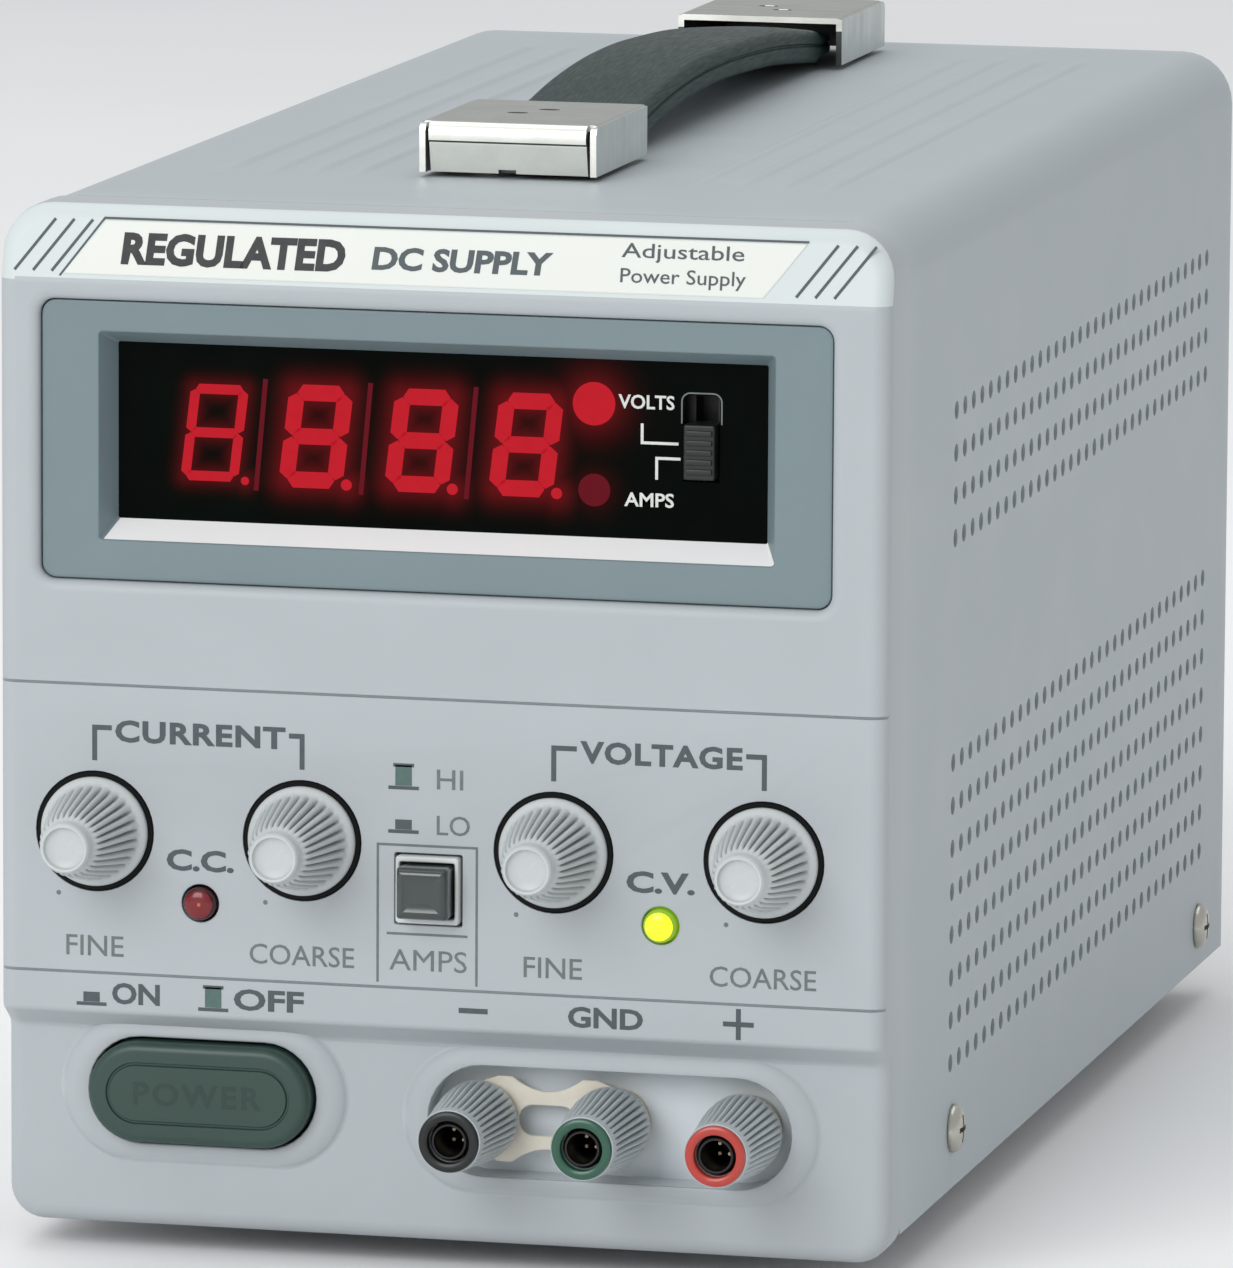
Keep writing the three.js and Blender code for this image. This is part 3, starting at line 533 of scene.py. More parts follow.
# ---------------------------------------------------------------- front bezel
def face_depth(z):
    """How far back the bezel's face lies at height z: leaning band, flat face, set-back lower face."""
    lower = [(STEP_Z - STEP_RUN - 0.6, LOWER_Y), (STEP_Z - STEP_RUN, LOWER_Y - 0.25),
             (STEP_Z - STEP_RUN + 0.5, LOWER_Y - 0.8), (STEP_Z - 0.4, 0.5), (STEP_Z, 0.12),
             (STEP_Z + 0.5, 0.0)]
    if z < lower[-1][0]:
        return float(np.interp(z, [a for a, _ in lower], [b for _, b in lower]))
    rise = max(0.0, z - BAND_Z)
    soft = 0.8
    return BAND_LEAN * (rise if rise > soft else rise * rise / soft) / (CASE_H + 0.5 - BAND_Z)


def groove_depth(z):
    return GROOVE_DEPTH if any(abs(z - g) < GROOVE_HALF for g in GROOVES) else 0.0


def bezel_shell():
    steps = 6
    stations = [(-EDGE_R * (1 - math.sin(math.pi / 2 * k / steps)),
                 EDGE_R * (1 - math.cos(math.pi / 2 * k / steps))) for k in range(steps + 1)]
    stations.append((0.0, BEZEL_D))
    bm = bmesh.new()
    loft(bm, rings_along_y(
        lambda grow: rounded((-HALF_W, 0), (HALF_W, CASE_H), 7, 5, steps=8, grow=grow), stations))
    levels = [STEP_Z - STEP_RUN - 0.6, STEP_Z - STEP_RUN, STEP_Z - STEP_RUN + 0.5, STEP_Z - 0.4,
              STEP_Z, STEP_Z + 0.5, BAND_Z, BAND_Z + 0.4, BAND_Z + 0.8, 140.0]
    for g in GROOVES:
        levels += [g - GROOVE_HALF - 0.04, g - GROOVE_HALF + 0.02, g + GROOVE_HALF - 0.02,
                   g + GROOVE_HALF + 0.04]
    for z in levels:
        bmesh.ops.bisect_plane(bm, geom=bm.verts[:] + bm.edges[:] + bm.faces[:],
                               plane_co=(0, 0, z), plane_no=(0, 0, 1))
    for v in bm.verts:
        if v.co.y < BEZEL_D - 0.1:
            groove = groove_depth(v.co.z) if abs(v.co.x) < HALF_W - 0.3 else 0.0
            v.co.y += face_depth(v.co.z) + groove
    return bm


def collar(at, half_w, half_h, inner_w, inner_h):
    """A low raised collar with a soft outer edge, to be joined to the lower face."""
    def outline(grow):
        return oval(at, half_w, half_h, grow, steps=20)
    slope = half_h - inner_h
    stations = [(0.5, LOWER_Y + 1.0), (0.5, LOWER_Y - 0.01), (0.2, LOWER_Y - 0.1), (0.0, LOWER_Y - 0.3),
                (-0.25, LOWER_Y - 0.55), (-0.8, LOWER_Y - 0.85), (-1.4, LOWER_Y - 1.08), (-slope, COLLAR_Y),
                (-slope - 1.0, COLLAR_Y)]
    bm = bmesh.new()
    loft(bm, rings_along_y(outline, stations))
    return bm


def terminal_centre():
    return (POST_AT[0] + POST_AT[2]) / 2


def make_bezel():
    t = terminal_centre()
    half_in = HALF_W - 2.8
    joins = [collar(POWER_AT, 20.6, 10.3, 17.2, 8.2),
             collar(t, 29.8, 10.4, POCKET["half_w"] + 0.5, POCKET["half_h"] + 0.5)]
    wall = 3.2
    floor = POCKET["floor"]
    pocket_x = (t.x - POCKET["half_w"] - 2, t.x + POCKET["half_w"] + 2)
    cuts = [
        box_shape((-half_in, wall, STEP_Z + 1), (half_in, BEZEL_D + 1, CASE_H - 4.5)),
        box_shape((-half_in, LOWER_Y + wall, 2.8), (pocket_x[0], BEZEL_D + 1, STEP_Z + 1.5)),
        box_shape((pocket_x[0] - 0.5, floor + POCKET["wall"], 2.8),
                  (pocket_x[1] + 0.5, BEZEL_D + 1, STEP_Z + 1.5)),
        box_shape((pocket_x[1], LOWER_Y + wall, 2.8), (half_in, BEZEL_D + 1, STEP_Z + 1.5)),
        mouth(lambda g: rounded(DISPLAY_LOW, DISPLAY_HIGH, DISPLAY_R, grow=g), 0.0, wall + 1, 1.7, 5, 1.15),
        mouth(lambda g: oval(POWER_AT, POWER_HALF[0], POWER_HALF[1], g + POWER_GAP), COLLAR_Y,
              LOWER_Y + wall + 1, 0.3),
        mouth(lambda g: oval(t, POCKET["half_w"], POCKET["half_h"], g), COLLAR_Y, floor, 0.25, 3),
        mouth(lambda g: rounded((AMPS_AT.x - 4.9, AMPS_AT.z - 5.1), (AMPS_AT.x + 4.9, AMPS_AT.z + 5.1),
                                0.3, grow=g), 0.0, wall + 1, 0.2, 2),
    ]
    for at in KNOB_AT:
        cuts.append(mouth(lambda g: arc(at.x, at.z, KNOB_SEAT_R + g, 0, 352.5, 47), 0.0,
                          KNOB_SEAT_Y, 0.15, 2))
        cuts.append(turned_shape([(4.1, -1), (4.1, wall + 1)], at, 24))
    for at in LAMP_AT.values():
        cuts.append(mouth(lambda g: arc(at.x, at.z, 2.7 + g, 0, 348.75, 31), 0.0, wall + 1, 0.2, 2))
    for at in POST_AT:
        cuts.append(turned_shape([(3.1, floor - 1), (3.1, BEZEL_D)], at, 24))
    bm = combine(bezel_shell(), joins, cuts)
    for f in bm.faces:
        c = f.calc_center_median()
        past_end = max(0.0, abs(c.x - t.x) - POCKET["half_w"] + POCKET["half_h"])
        in_pocket = math.hypot(past_end, c.z - t.z) < POCKET["half_h"] + 0.05
        # The pocket's walls and floor get the lighter copy: painted light.
        if in_pocket and 3.0 < c.y < floor + 0.05:
            f.material_index = 1
        # The leaning band gets the lighter copy: painted light.
        elif c.z > BAND_Z + 0.6 and f.normal.y < -0.25 and c.y < 8:
            f.material_index = 2
    piece("front_bezel_moulding", bm, ["bezel", "pocket", "band_painted_light"],
          replaces=["front_bezel"], angle=30)
    # Black rings in the knob seats: painted shadow in the gap round each knob.
    for i, at in enumerate(KNOB_AT):
        back, outer = KNOB_SEAT_Y - 0.02, KNOB_SEAT_R - 0.05
        section = [(7.3, back), (7.3, 0.35), (7.7, 0.05), (8.35, 0.02), (outer, 0.2), (outer, back)]
        piece(f"knob_gap_shadow_ring_{i + 1}", turned_ring(section, at, 64), "ring")


# ---------------------------------------------------------------- lettering and printed marks
def stroke(bm, points, width, y=PRINT_Y, thick=0.05, material=0):
    """A printed line through x, z points: mitred, closed and thin."""
    pts = [Vector(p) for p in points]
    sides = []
    for i, p in enumerate(pts):
        before = (p - pts[i - 1]).normalized() if i else (pts[1] - p).normalized()
        after = (pts[i + 1] - p).normalized() if i < len(pts) - 1 else before
        tangent = (before + after).normalized()
        normal = Vector((-tangent.y, tangent.x))
        reach = width / 2 / max(0.3, normal.dot(Vector((-before.y, before.x))))
        sides.append((p + normal * reach, p - normal * reach))
    depth = y if callable(y) else (lambda z: y)
    for (a0, b0), (a1, b1) in zip(sides, sides[1:]):
        loft(bm, [[(q.x, depth(q.y) + dy, q.y) for q in (a0, b0, b1, a1)] for dy in (0.0, thick)],
             material=material)


def lettering(bm, text, low, high, y=PRINT_Y, thick=0.06, bold=0.0, slant=0.0, spacing=1.0, material=0):
    """Text fitted into the x, z box from low to high, standing just proud of the face."""
    curve = bpy.data.curves.new("letters", "FONT")
    curve.body = text
    curve.space_character = spacing
    curve.offset = bold
    curve.extrude = 0.5
    curve.resolution_u = 3
    obj = bpy.data.objects.new("letters", curve)
    bpy.context.scene.collection.objects.link(obj)
    bpy.context.view_layer.update()
    mesh = bpy.data.meshes.new_from_object(obj.evaluated_get(bpy.context.evaluated_depsgraph_get()))
    part = bmesh.new()
    part.from_mesh(mesh)
    bpy.data.objects.remove(obj)
    bpy.data.curves.remove(curve)
    bpy.data.meshes.remove(mesh)
    bmesh.ops.remove_doubles(part, verts=part.verts, dist=1e-5)
    xs = [v.co.x for v in part.verts]
    zs = [v.co.y for v in part.verts]
    x0, x1, z0, z1 = min(xs), max(xs), min(zs), max(zs)
    depth = y if callable(y) else (lambda z: y)
    for v in part.verts:
        u, w = (v.co.x - x0) / (x1 - x0), (v.co.y - z0) / (z1 - z0)
        z = low[1] + w * (high[1] - low[1])
        x = low[0] + u * (high[0] - low[0]) + slant * (z - low[1])
        v.co = (x, depth(z) + (0.0 if v.co.z > 0 else thick), z)
    merge(bm, part, material)


def dot(bm, x, z, r, material=0):
    turned(bm, [(r, PRINT_Y), (r, PRINT_Y + 0.06)], Vector((x, 0, z)), 16, material=material)


def bracket(bm, x_leg, x_text, z_top, z_low):
    stroke(bm, [(x_text, z_top), (x_leg, z_top), (x_leg, z_low)], 0.72)


def push_icon(bm, x, z, out, material=0):
    """Push button sign: a block on a bar, high when the button is out."""
    top = z + (1.7 if out else 0.2)
    stroke(bm, [(x - 2.2, z - 1.5), (x + 2.2, z - 1.5)], 0.5, PRINT_Y, material=0)
    stroke(bm, [(x - 1.2, (z - 1.2 + top) / 2), (x + 1.2, (z - 1.2 + top) / 2)], top - z + 1.2,
           material=material)
    if out:
        stroke(bm, [(x - 1.5, top), (x + 1.5, top)], 0.5, PRINT_Y, material=0)


def make_panel_print():
    """Function names and marks: ink 0 is dark, 1 is pale and 2 is grey-green."""
    bm = bmesh.new()
    k = KNOB_AT
    names = (("CURRENT", k[0].x, k[1].x, -46.9, -22.1), ("VOLTAGE", k[2].x, k[3].x, 20.4, 43.6))
    for text, left, right, x0, x1 in names:
        lettering(bm, text, (x0, 69.9), (x1, 73.1), bold=0.035, spacing=1.1)
        bracket(bm, left, x0 - 0.5, 71.9, 67.2)
        bracket(bm, right, x1 + 0.5, 71.9, 67.2)
    for at, text, half in ((k[0], "FINE", 4.2), (k[1], "COARSE", 7.6), (k[2], "FINE", 4.2),
                           (k[3], "COARSE", 7.6)):
        lettering(bm, text, (at.x - half, 39.3), (at.x + half, 42.2), bold=0.004, material=1)
        dot(bm, at.x - 5.3, at.z - 9.0, 0.34, material=1)
    for node, text in (("cc_lamp", "C.C."), ("cv_lamp", "C.V.")):
        x = LAMP_AT[node].x
        lettering(bm, text, (x - 4.9, 52.0), (x + 4.9, 55.1), bold=0.035)
    lettering(bm, "ON", (-47.4, 32.5), (-40.4, 35.6), bold=0.03)
    lettering(bm, "OFF", (-29.6, 32.5), (-19.4, 35.6), bold=0.03)
    push_icon(bm, -50.4, 33.9, False)
    push_icon(bm, -32.6, 33.9, True, material=2)
    t = [p.x for p in POST_AT]
    stroke(bm, [(t[0] - 2.1, 34.1), (t[0] + 2.1, 34.1)], 0.75)
    lettering(bm, "GND", (t[1] - 5.4, 32.5), (t[1] + 5.4, 35.5), bold=0.03)
    stroke(bm, [(t[2] - 2.2, 34.1), (t[2] + 2.2, 34.1)], 0.7)
    stroke(bm, [(t[2], 31.9), (t[2], 36.3)], 0.7, -0.031)
    push_icon(bm, -5.0, 66.8, True, material=2)
    push_icon(bm, -5.0, 60.6, False)
    lettering(bm, "HI", (-0.2, 65.3), (3.6, 68.1), bold=0.004, material=1)
    lettering(bm, "LO", (-0.2, 58.8), (4.6, 61.6), bold=0.004, material=1)
    box = [(-8.7, 37.6), (-8.7, 57.2), (5.6, 57.2), (5.6, 37.6)]
    stroke(bm, box, 0.35, PRINT_Y, material=1)
    stroke(bm, [(-7.4, 44.6), (4.3, 44.6)], 0.35, PRINT_Y, material=1)
    lettering(bm, "AMPS", (-7.0, 39.4), (4.2, 42.4), material=1)
    piece("panel_print", bm, ["ink", "pale_ink", "teal_ink"], angle=60)


# ---------------------------------------------------------------- label plate on the leaning band
def band_depth(proud):
    return lambda z: face_depth(z) - proud


def make_label():
    bm = bmesh.new()
    shape = [(-54.5, 135.9), (46.0, 135.9), (51.8, 143.4), (-48.7, 143.4)]
    rim = [(x + (0.25 if x < 0 else -0.25), z + (0.2 if z < 140 else -0.2)) for x, z in shape]
    depth = [[(x, face_depth(z) + 0.25, z) for x, z in shape],
             [(x, face_depth(z) - 0.08, z) for x, z in shape],
             [(x, face_depth(z) - 0.2, z) for x, z in rim]]
    loft(bm, depth)
    piece("label_plate_film", bm, "band", replaces=["label_plate"])
    bm = bmesh.new()
    y = band_depth(0.24)
    lettering(bm, "REGULATED", (-46.2, 137.4), (-14.0, 141.9), y, bold=0.045, slant=0.08, spacing=1.02)
    lettering(bm, "DC SUPPLY", (-10.0, 137.9), (15.6, 141.1), y, bold=0.035, slant=0.1, material=1)
    lettering(bm, "Adjustable", (25.6, 140.2), (43.0, 142.8), y, bold=0.004, material=1)
    lettering(bm, "Power Supply", (25.6, 136.8), (43.4, 139.4), y, bold=0.004, material=1)
    edge = band_depth(0.03)
    slope = 5.8 / 7.5
    for side, start in ((-1, -61.6), (1, 50.6)):
        for i in range(3):
            x = start + i * 2.7
            stroke(bm, [(x, 136.2), (x + slope * 7.2, 143.4)], 0.42, edge, material=1)
    stroke(bm, [(-55.0, 135.6), (-48.9, 143.7), (52.0, 143.7)], 0.3, edge, material=1)
    piece("label_print", bm, ["black_ink", "ink"], angle=60)


# ---------------------------------------------------------------- display
def make_display_frame():
    """Blue-grey frame whose mouth narrows to the filter; its lower ledge is white, a painted highlight
    where it faces up.
    """
    gap = 0.12

    def rim(grow):
        return rounded(DISPLAY_LOW, DISPLAY_HIGH, DISPLAY_R, grow=grow - gap)

    def lip(grow):
        low = (MOUTH_LOW[0] - grow, MOUTH_LOW[1] - grow)
        return rounded(low, (MOUTH_HIGH[0] + grow, MOUTH_HIGH[1] + grow), 0.5)

    def inner(grow):
        low = (WINDOW_LOW[0] - grow, WINDOW_LOW[1] - grow)
        return rounded(low, (WINDOW_HIGH[0] + grow, WINDOW_HIGH[1] + grow), 0.3)
    stations = [(rim(0), 5.0), (rim(0), 1.7), (rim(-0.15), 1.4), (rim(-0.5), 1.3), (lip(0.25), 1.5),
                (lip(0.1), 1.6), (lip(0.0), 1.85), (inner(0.0), WINDOW_Y - 0.15),
                (inner(0.0), WINDOW_Y + 0.9), (rim(-2.0), WINDOW_Y + 1.0)]
    bm = loft_ring([[(x, y, z) for x, z in outline] for outline, y in stations])
    # The lower ledge gets the white copy: painted highlight.
    for f in bm.faces:
        c = f.calc_center_median()
        f.material_index = int(1.85 < c.y < WINDOW_Y - 0.2 and c.z < WINDOW_LOW[1] and abs(c.x) < 48)
    piece("display_surround", bm, ["frame", "ledge"], replaces=["display_frame"],
          angle=28)


SEGMENTS = {"a": (0, 2, 1, 2), "g": (0, 1, 1, 1), "d": (0, 0, 1, 0), "f": (0, 1, 0, 2),
            "b": (1, 1, 1, 2), "e": (0, 0, 0, 1), "c": (1, 0, 1, 1)}
DIGITS_X = (-33.8, -19.1, -3.8, 11.2)
DIVIDERS_X, DIVIDER_Z = (-27.2, -12.0, 3.2), (105.6, 121.4)
POINT_STEP, POINT_Z = 4.3, 106.9
DIGIT_LOW, DIGIT_HIGH, DIGIT_W, DIGIT_SLANT = 107.4, 119.7, 7.0, 0.12
VOLTS_LAMP, AMPS_LAMP = (20.8, 119.7), (20.9, 107.6)
VOLTS_LAMP_R, AMPS_LAMP_R = 3.05, 2.3


def segment_line(x, segment):
    """The middle line of one digit segment as two x, z points."""
    u0, v0, u1, v1 = SEGMENTS[segment]
    points = []
    for u, v in ((u0, v0), (u1, v1)):
        z = DIGIT_LOW + v * (DIGIT_HIGH - DIGIT_LOW) / 2
        points.append(Vector((x + (u - 0.5) * DIGIT_W + DIGIT_SLANT * (z - DIGIT_LOW - DIGIT_W), z)))
    return points


def make_digits():
    bright, dim = bmesh.new(), bmesh.new()
    y = WINDOW_Y - 0.05
    for i, x in enumerate(DIGITS_X):
        width = 1.4 if i == 0 else 2.3
        for s in SEGMENTS:
            a, b = segment_line(x, s)
            along = (b - a).normalized()
            gap = width * 0.04
            a, b = a + along * gap, b - along * gap
            tip = width / 2
            across = Vector((-along.y, along.x)) * tip
            outline = [a, a + along * tip * 0.7 + across, b - along * tip * 0.7 + across, b,
                       b - along * tip * 0.7 - across, a + along * tip * 0.7 - across]
            loft(bright, [[(p.x, y + dy, p.y) for p in outline] for dy in (0.0, 0.04)])
        r = 0.8 if i else 0.6
        turned(bright, [(r, y), (r, y + 0.04)], Vector((x + POINT_STEP, 0, POINT_Z)), 20)
    for x in DIVIDERS_X:
        stroke(dim, [(x - 0.7, DIVIDER_Z[0]), (x + 0.7, DIVIDER_Z[1])], 0.7, y, 0.04)
    turned(bright, [(VOLTS_LAMP_R, y), (VOLTS_LAMP_R, y + 0.04)],
           Vector((VOLTS_LAMP[0], 0, VOLTS_LAMP[1])), 32)
    turned(dim, [(AMPS_LAMP_R, y), (AMPS_LAMP_R, y + 0.04)], Vector((AMPS_LAMP[0], 0, AMPS_LAMP[1])), 32)
    piece("lit_digits", bright, "digit_core", angle=60)
    piece("dim_digit_marks", dim, "digit_dim", angle=60)


def glow_at(x, z):
    """Red light spread in the filter around the lit segments, from 0 to 1."""
    total = np.zeros_like(x)
    for i, dx in enumerate(DIGITS_X):
        reach, gain = (1.6, 0.3) if i == 0 else (2.4, 0.45)
        for s in SEGMENTS:
            a, b = segment_line(dx, s)
            d = b - a
            t = np.clip(((x - a.x) * d.x + (z - a.y) * d.y) / d.length_squared, 0, 1)
            off = np.hypot(x - a.x - t * d.x, z - a.y - t * d.y)
            total = np.maximum(total, gain * np.exp(-(off / reach) ** 2))
        off = np.hypot(x - dx - POINT_STEP, z - POINT_Z)
        total = np.maximum(total, gain * np.exp(-(off / reach) ** 2))
    for (lx, lz), reach, gain in ((VOLTS_LAMP, 4.0, 0.6), (AMPS_LAMP, 2.8, 0.15)):
        total = np.maximum(total, gain * np.exp(-(np.hypot(x - lx, z - lz) / reach) ** 2))
    return total


def make_window():
    """The filter's face is a fine grid that carries the glow, with the slider's slot left open."""
    slot_x, slot_z = (SLIDER_AT.x - SLOT_HALF, SLIDER_AT.x + SLOT_HALF), SLOT_Z
    xs = np.unique(np.concatenate([np.linspace(WINDOW_LOW[0] - 0.8, slot_x[0], 190),
                                   np.linspace(slot_x[0], slot_x[1], 7),
                                   np.linspace(slot_x[1], WINDOW_HIGH[0] + 0.8, 12)]).round(4))
    zs = np.unique(np.concatenate([np.linspace(WINDOW_LOW[1] - 0.8, slot_z[0], 22),
                                   np.linspace(slot_z[0], slot_z[1], 28),
                                   np.linspace(slot_z[1], WINDOW_HIGH[1] + 0.8, 12)]).round(4))
    bm = bmesh.new()
    layers = [[[bm.verts.new((x, y, z)) for z in zs] for x in xs] for y in (WINDOW_Y, WINDOW_Y + 1.7)]
    solid = np.ones((len(xs) - 1, len(zs) - 1), bool)
    mx, mz = (xs[1:] + xs[:-1]) / 2, (zs[1:] + zs[:-1]) / 2
    solid[np.ix_((mx > slot_x[0]) & (mx < slot_x[1]), (mz > slot_z[0]) & (mz < slot_z[1]))] = False
    for i in range(len(mx)):
        for j in range(len(mz)):
            if not solid[i, j]:
                continue
            for layer in layers:
                bm.faces.new((layer[i][j], layer[i + 1][j], layer[i + 1][j + 1], layer[i][j + 1]))
            for di, dj, p, q in ((-1, 0, (i, j), (i, j + 1)), (1, 0, (i + 1, j), (i + 1, j + 1)),
                                 (0, -1, (i, j), (i + 1, j)), (0, 1, (i, j + 1), (i + 1, j + 1))):
                a, b = i + di, j + dj
                if not (0 <= a < len(mx) and 0 <= b < len(mz) and solid[a, b]):
                    f, r = layers
                    bm.faces.new((f[p[0]][p[1]], f[q[0]][q[1]], r[q[0]][q[1]], r[p[0]][p[1]]))
    bmesh.ops.delete(bm, geom=[v for v in bm.verts if not v.link_faces], context="VERTS")
    obj = piece("display_filter", bm, "window", replaces=["display_window"])
    co = np.array([v.co for v in obj.data.vertices]) / MM
    x, z = co[:, 0], co[:, 2] - CASE_ORIGIN.z / MM
    glow = obj.data.attributes.new("glow", "FLOAT", "POINT")
    glow.data.foreach_set("value", glow_at(x, z).astype(np.float32))


def make_window_print():
    bm = bmesh.new()
    y = WINDOW_Y - 0.03
    lettering(bm, "VOLTS", (24.3, 119.2), (32.3, 121.2), y, 0.03, bold=0.02)
    lettering(bm, "AMPS", (25.2, 105.5), (32.3, 107.5), y, 0.03, bold=0.02)
    stroke(bm, [(27.7, 117.2), (27.7, 114.5), (32.9, 114.5)], 0.4, y, 0.03)
    stroke(bm, [(29.8, 109.4), (29.8, 112.4), (33.2, 112.4)], 0.4, y, 0.03)
    s = SLIDER_AT.x
    # A pale arc along the slot's rounded top: painted highlight of the slot's rim.
    slot_rim_painted_highlight = [(s - 2.85, 117.4)] + arc(s - 1.65, 120.5, 1.2, 180, 90, 5) + arc(s + 1.65, 120.5, 1.2, 90, 0, 5)
    stroke(bm, slot_rim_painted_highlight + [(s + 2.85, 117.4)], 0.2, y, 0.03, material=1)
    piece("window_print", bm, ["white_ink", "pale_ink"], angle=60)


def make_slider():
    low, high = case_box("meter_slider")
    bm = bmesh.new()
    soft_box(bm, (low.x + 0.05, low.y, low.z), (high.x - 0.05, 8.2, high.z), 0.35, segments=3)
    for i in range(5):
        z = low.z + 1.2 + i * (high.z - low.z - 2.4) / 4
        soft_box(bm, (low.x + 0.4, low.y - 0.35, z - 0.4), (high.x - 0.4, low.y + 0.4, z + 0.4), 0.2)
    soft_box(bm, (low.x + 1.1, 8.0, low.z + 2), (high.x - 1.1, 12.6, high.z - 2), 0.2)
    piece("meter_slider_cap", bm, "black", body="meter_slider",
          replaces=["meter_slider"])


# ---------------------------------------------------------------- knobs
def flute(a, flutes):
    """How deep into a flute the angle a lies, from 0 on a rib to 1 at the bottom."""
    return (0.5 - 0.5 * math.cos(flutes * a)) ** 2.5


def mark_flutes(bm, at, flutes, y0, y1):
    """Stores the flutes on the mesh, for the shade that gathers in them."""
    layer = bm.verts.layers.float.new("groove")
    for v in bm.verts:
        if y0 < v.co.y < y1:
            v[layer] = flute(math.atan2(v.co.z - at.z, v.co.x - at.x), flutes)


def make_knob(i, at):
    """Base disc, fluted cone and a plain recessed end cap."""
    front = case_box(KNOBS[i])[0].y
    flutes, per_flute = 30, 8
    profile = [(7.0, 0.6), (7.55, 0.45), (7.75, 0.1), (7.75, -0.5), (7.55, -0.95), (7.2, -1.15),
               (6.95, -1.3), (6.75, -1.7), (6.55, -2.5), (6.25, -4.0), (5.9, -5.8), (5.5, -7.8),
               (5.1, -9.6), (4.75, -11.2), (4.45, -12.2), (4.1, -12.8), (3.75, -13.1), (3.6, -13.4),
               (3.6, front + 0.7), (3.5, front + 0.25), (3.25, front), (3.0, front + 0.04),
               (2.85, front + 0.6), (2.7, front + 0.72), (1.4, front + 0.78), (0.5, front + 0.8)]
    depth = {7: 0.05, 8: 0.1, 9: 0.12, 10: 0.125, 11: 0.125, 12: 0.125, 13: 0.12, 14: 0.09, 15: 0.04}

    def ripple(k, a):
        return 1.0 - depth.get(k, 0.0) * flute(a, flutes)
    bm = bmesh.new()
    turned(bm, profile, at, flutes * per_flute, ripple)
    mark_flutes(bm, at, flutes, -12.3, -1.5)
    piece(f"control_knob_{i + 1}", bm, "knob", body=[
        "current_fine_knob", "current_coarse_knob", "voltage_fine_knob", "voltage_coarse_knob"][i],
        replaces=[KNOBS[i]], angle=40)


# ---------------------------------------------------------------- lamps
def make_lamp(node, outer, inner, spark, spots):
    """A domed lens in a thin rim, with glowing spots inside it: the lit chip of a lamp that is on, painted
    glints in one that is off.
    """
    at = LAMP_AT[node]
    dome = [(2.9, 5.4), (2.9, 4.2), (2.4, 4.1), (2.4, -0.2), (2.3, -0.55), (2.0, -0.95), (1.5, -1.2),
            (0.9, -1.32), (0.3, -1.36)]
    bm = bmesh.new()
    made = turned(bm, dome, at, 40)
    for f in bm.faces:
        c = f.calc_center_median()
        r = math.hypot(c.x - at.x, c.z - at.z)
        f.material_index = 1 if c.y < 0 and r < 2.0 else 0
    piece(f"{node}_lens", bm, [outer, inner],
          replaces=[node], angle=50)
    bm = bmesh.new()
    for dx, dz, r in spots:
        front = -1.38 + 0.16 * (dx * dx + dz * dz)
        turned(bm, [(r, front + 0.3), (r, front + 0.04), (r * 0.7, front)],
               Vector((at.x + dx, 0, at.z + dz)), 16)
    piece(f"{node}_chip", bm, spark, angle=60)


# ---------------------------------------------------------------- range button
def make_amps():
    low, high = case_box("amps_surround")

    def ring(grow, y):
        return [(x, y, z) for x, z in rounded((low.x, low.z), (high.x, high.z), 0.5, steps=3, grow=grow)]
    inner_low, inner_high = (AMPS_AT.x - 3.95, AMPS_AT.z - 3.95), (AMPS_AT.x + 3.95, AMPS_AT.z + 3.95)

    def hole(grow, y):
        return [(x, y, z) for x, z in rounded(inner_low, inner_high, 0.25, steps=3, grow=grow)]
    rings = [ring(0.0, 4.8), ring(0.0, -0.5), ring(-0.15, -0.75), ring(-0.35, -0.82), hole(0.2, -0.82),
             hole(0.05, -0.7), hole(0.0, -0.4), hole(0.0, 4.8)]
    piece("amps_bezel", loft_ring(rings), "surround", replaces=["amps_surround"])

    low, high = case_box("amps_button")
    half, front = 3.7, low.y
    bm = bmesh.new()
    at = AMPS_AT

    def key(grow, y, r=0.5):
        return [(x, y, z) for x, z in rounded((at.x - half, at.z - half), (at.x + half, at.z + half), r,
                                              steps=4, grow=grow)]
    loft(bm, [key(0, 5.8), key(0, front + 1.3), key(-0.1, front + 0.8), key(-0.4, front + 0.35),
              key(-0.75, front + 0.12), key(-1.05, front + 0.1), key(-1.3, front + 0.3),
              key(-2.6, front + 0.42)])
    stem = turned_shape([(1.6, 5.7), (1.6, 15)], at, 20)
    merge(bm, stem)
    piece("amps_key", bm, "button", body="amps_button", replaces=["amps_button"])


# ---------------------------------------------------------------- power button
def make_power():
    at, front = POWER_AT, POWER_FRONT

    def outline(grow):
        return oval(at, POWER_HALF[0], POWER_HALF[1], grow, steps=20)
    stations = [(0, 9.0), (0, front + 1.2), (-0.1, front + 0.7), (-0.4, front + 0.3), (-0.85, front + 0.06),
                (-1.3, front), (-2.75, front + 0.02), (-2.9, front + 0.35), (-3.15, front + 0.35),
                (-3.3, front + 0.04), (-5.0, front + 0.02)]
    bm = bmesh.new()
    loft(bm, rings_along_y(outline, stations))
    merge(bm, turned_shape([(2, 8.5), (2, 30)], at, 20))
    piece("power_key", bm, "power", body="power_button", replaces=["power_button"])
    bm = bmesh.new()
    lettering(bm, "POWER", (at.x - 9.4, at.z - 1.7), (at.x + 9.4, at.z + 1.7), front, 0.06,
              bold=0.03, spacing=1.2)
    piece("power_key_word", bm, "power_mark", body="power_button", angle=60)


# ---------------------------------------------------------------- output terminals
POST_R, NUT_BORE, RING_BORE = 2.6, 2.95, 2.98


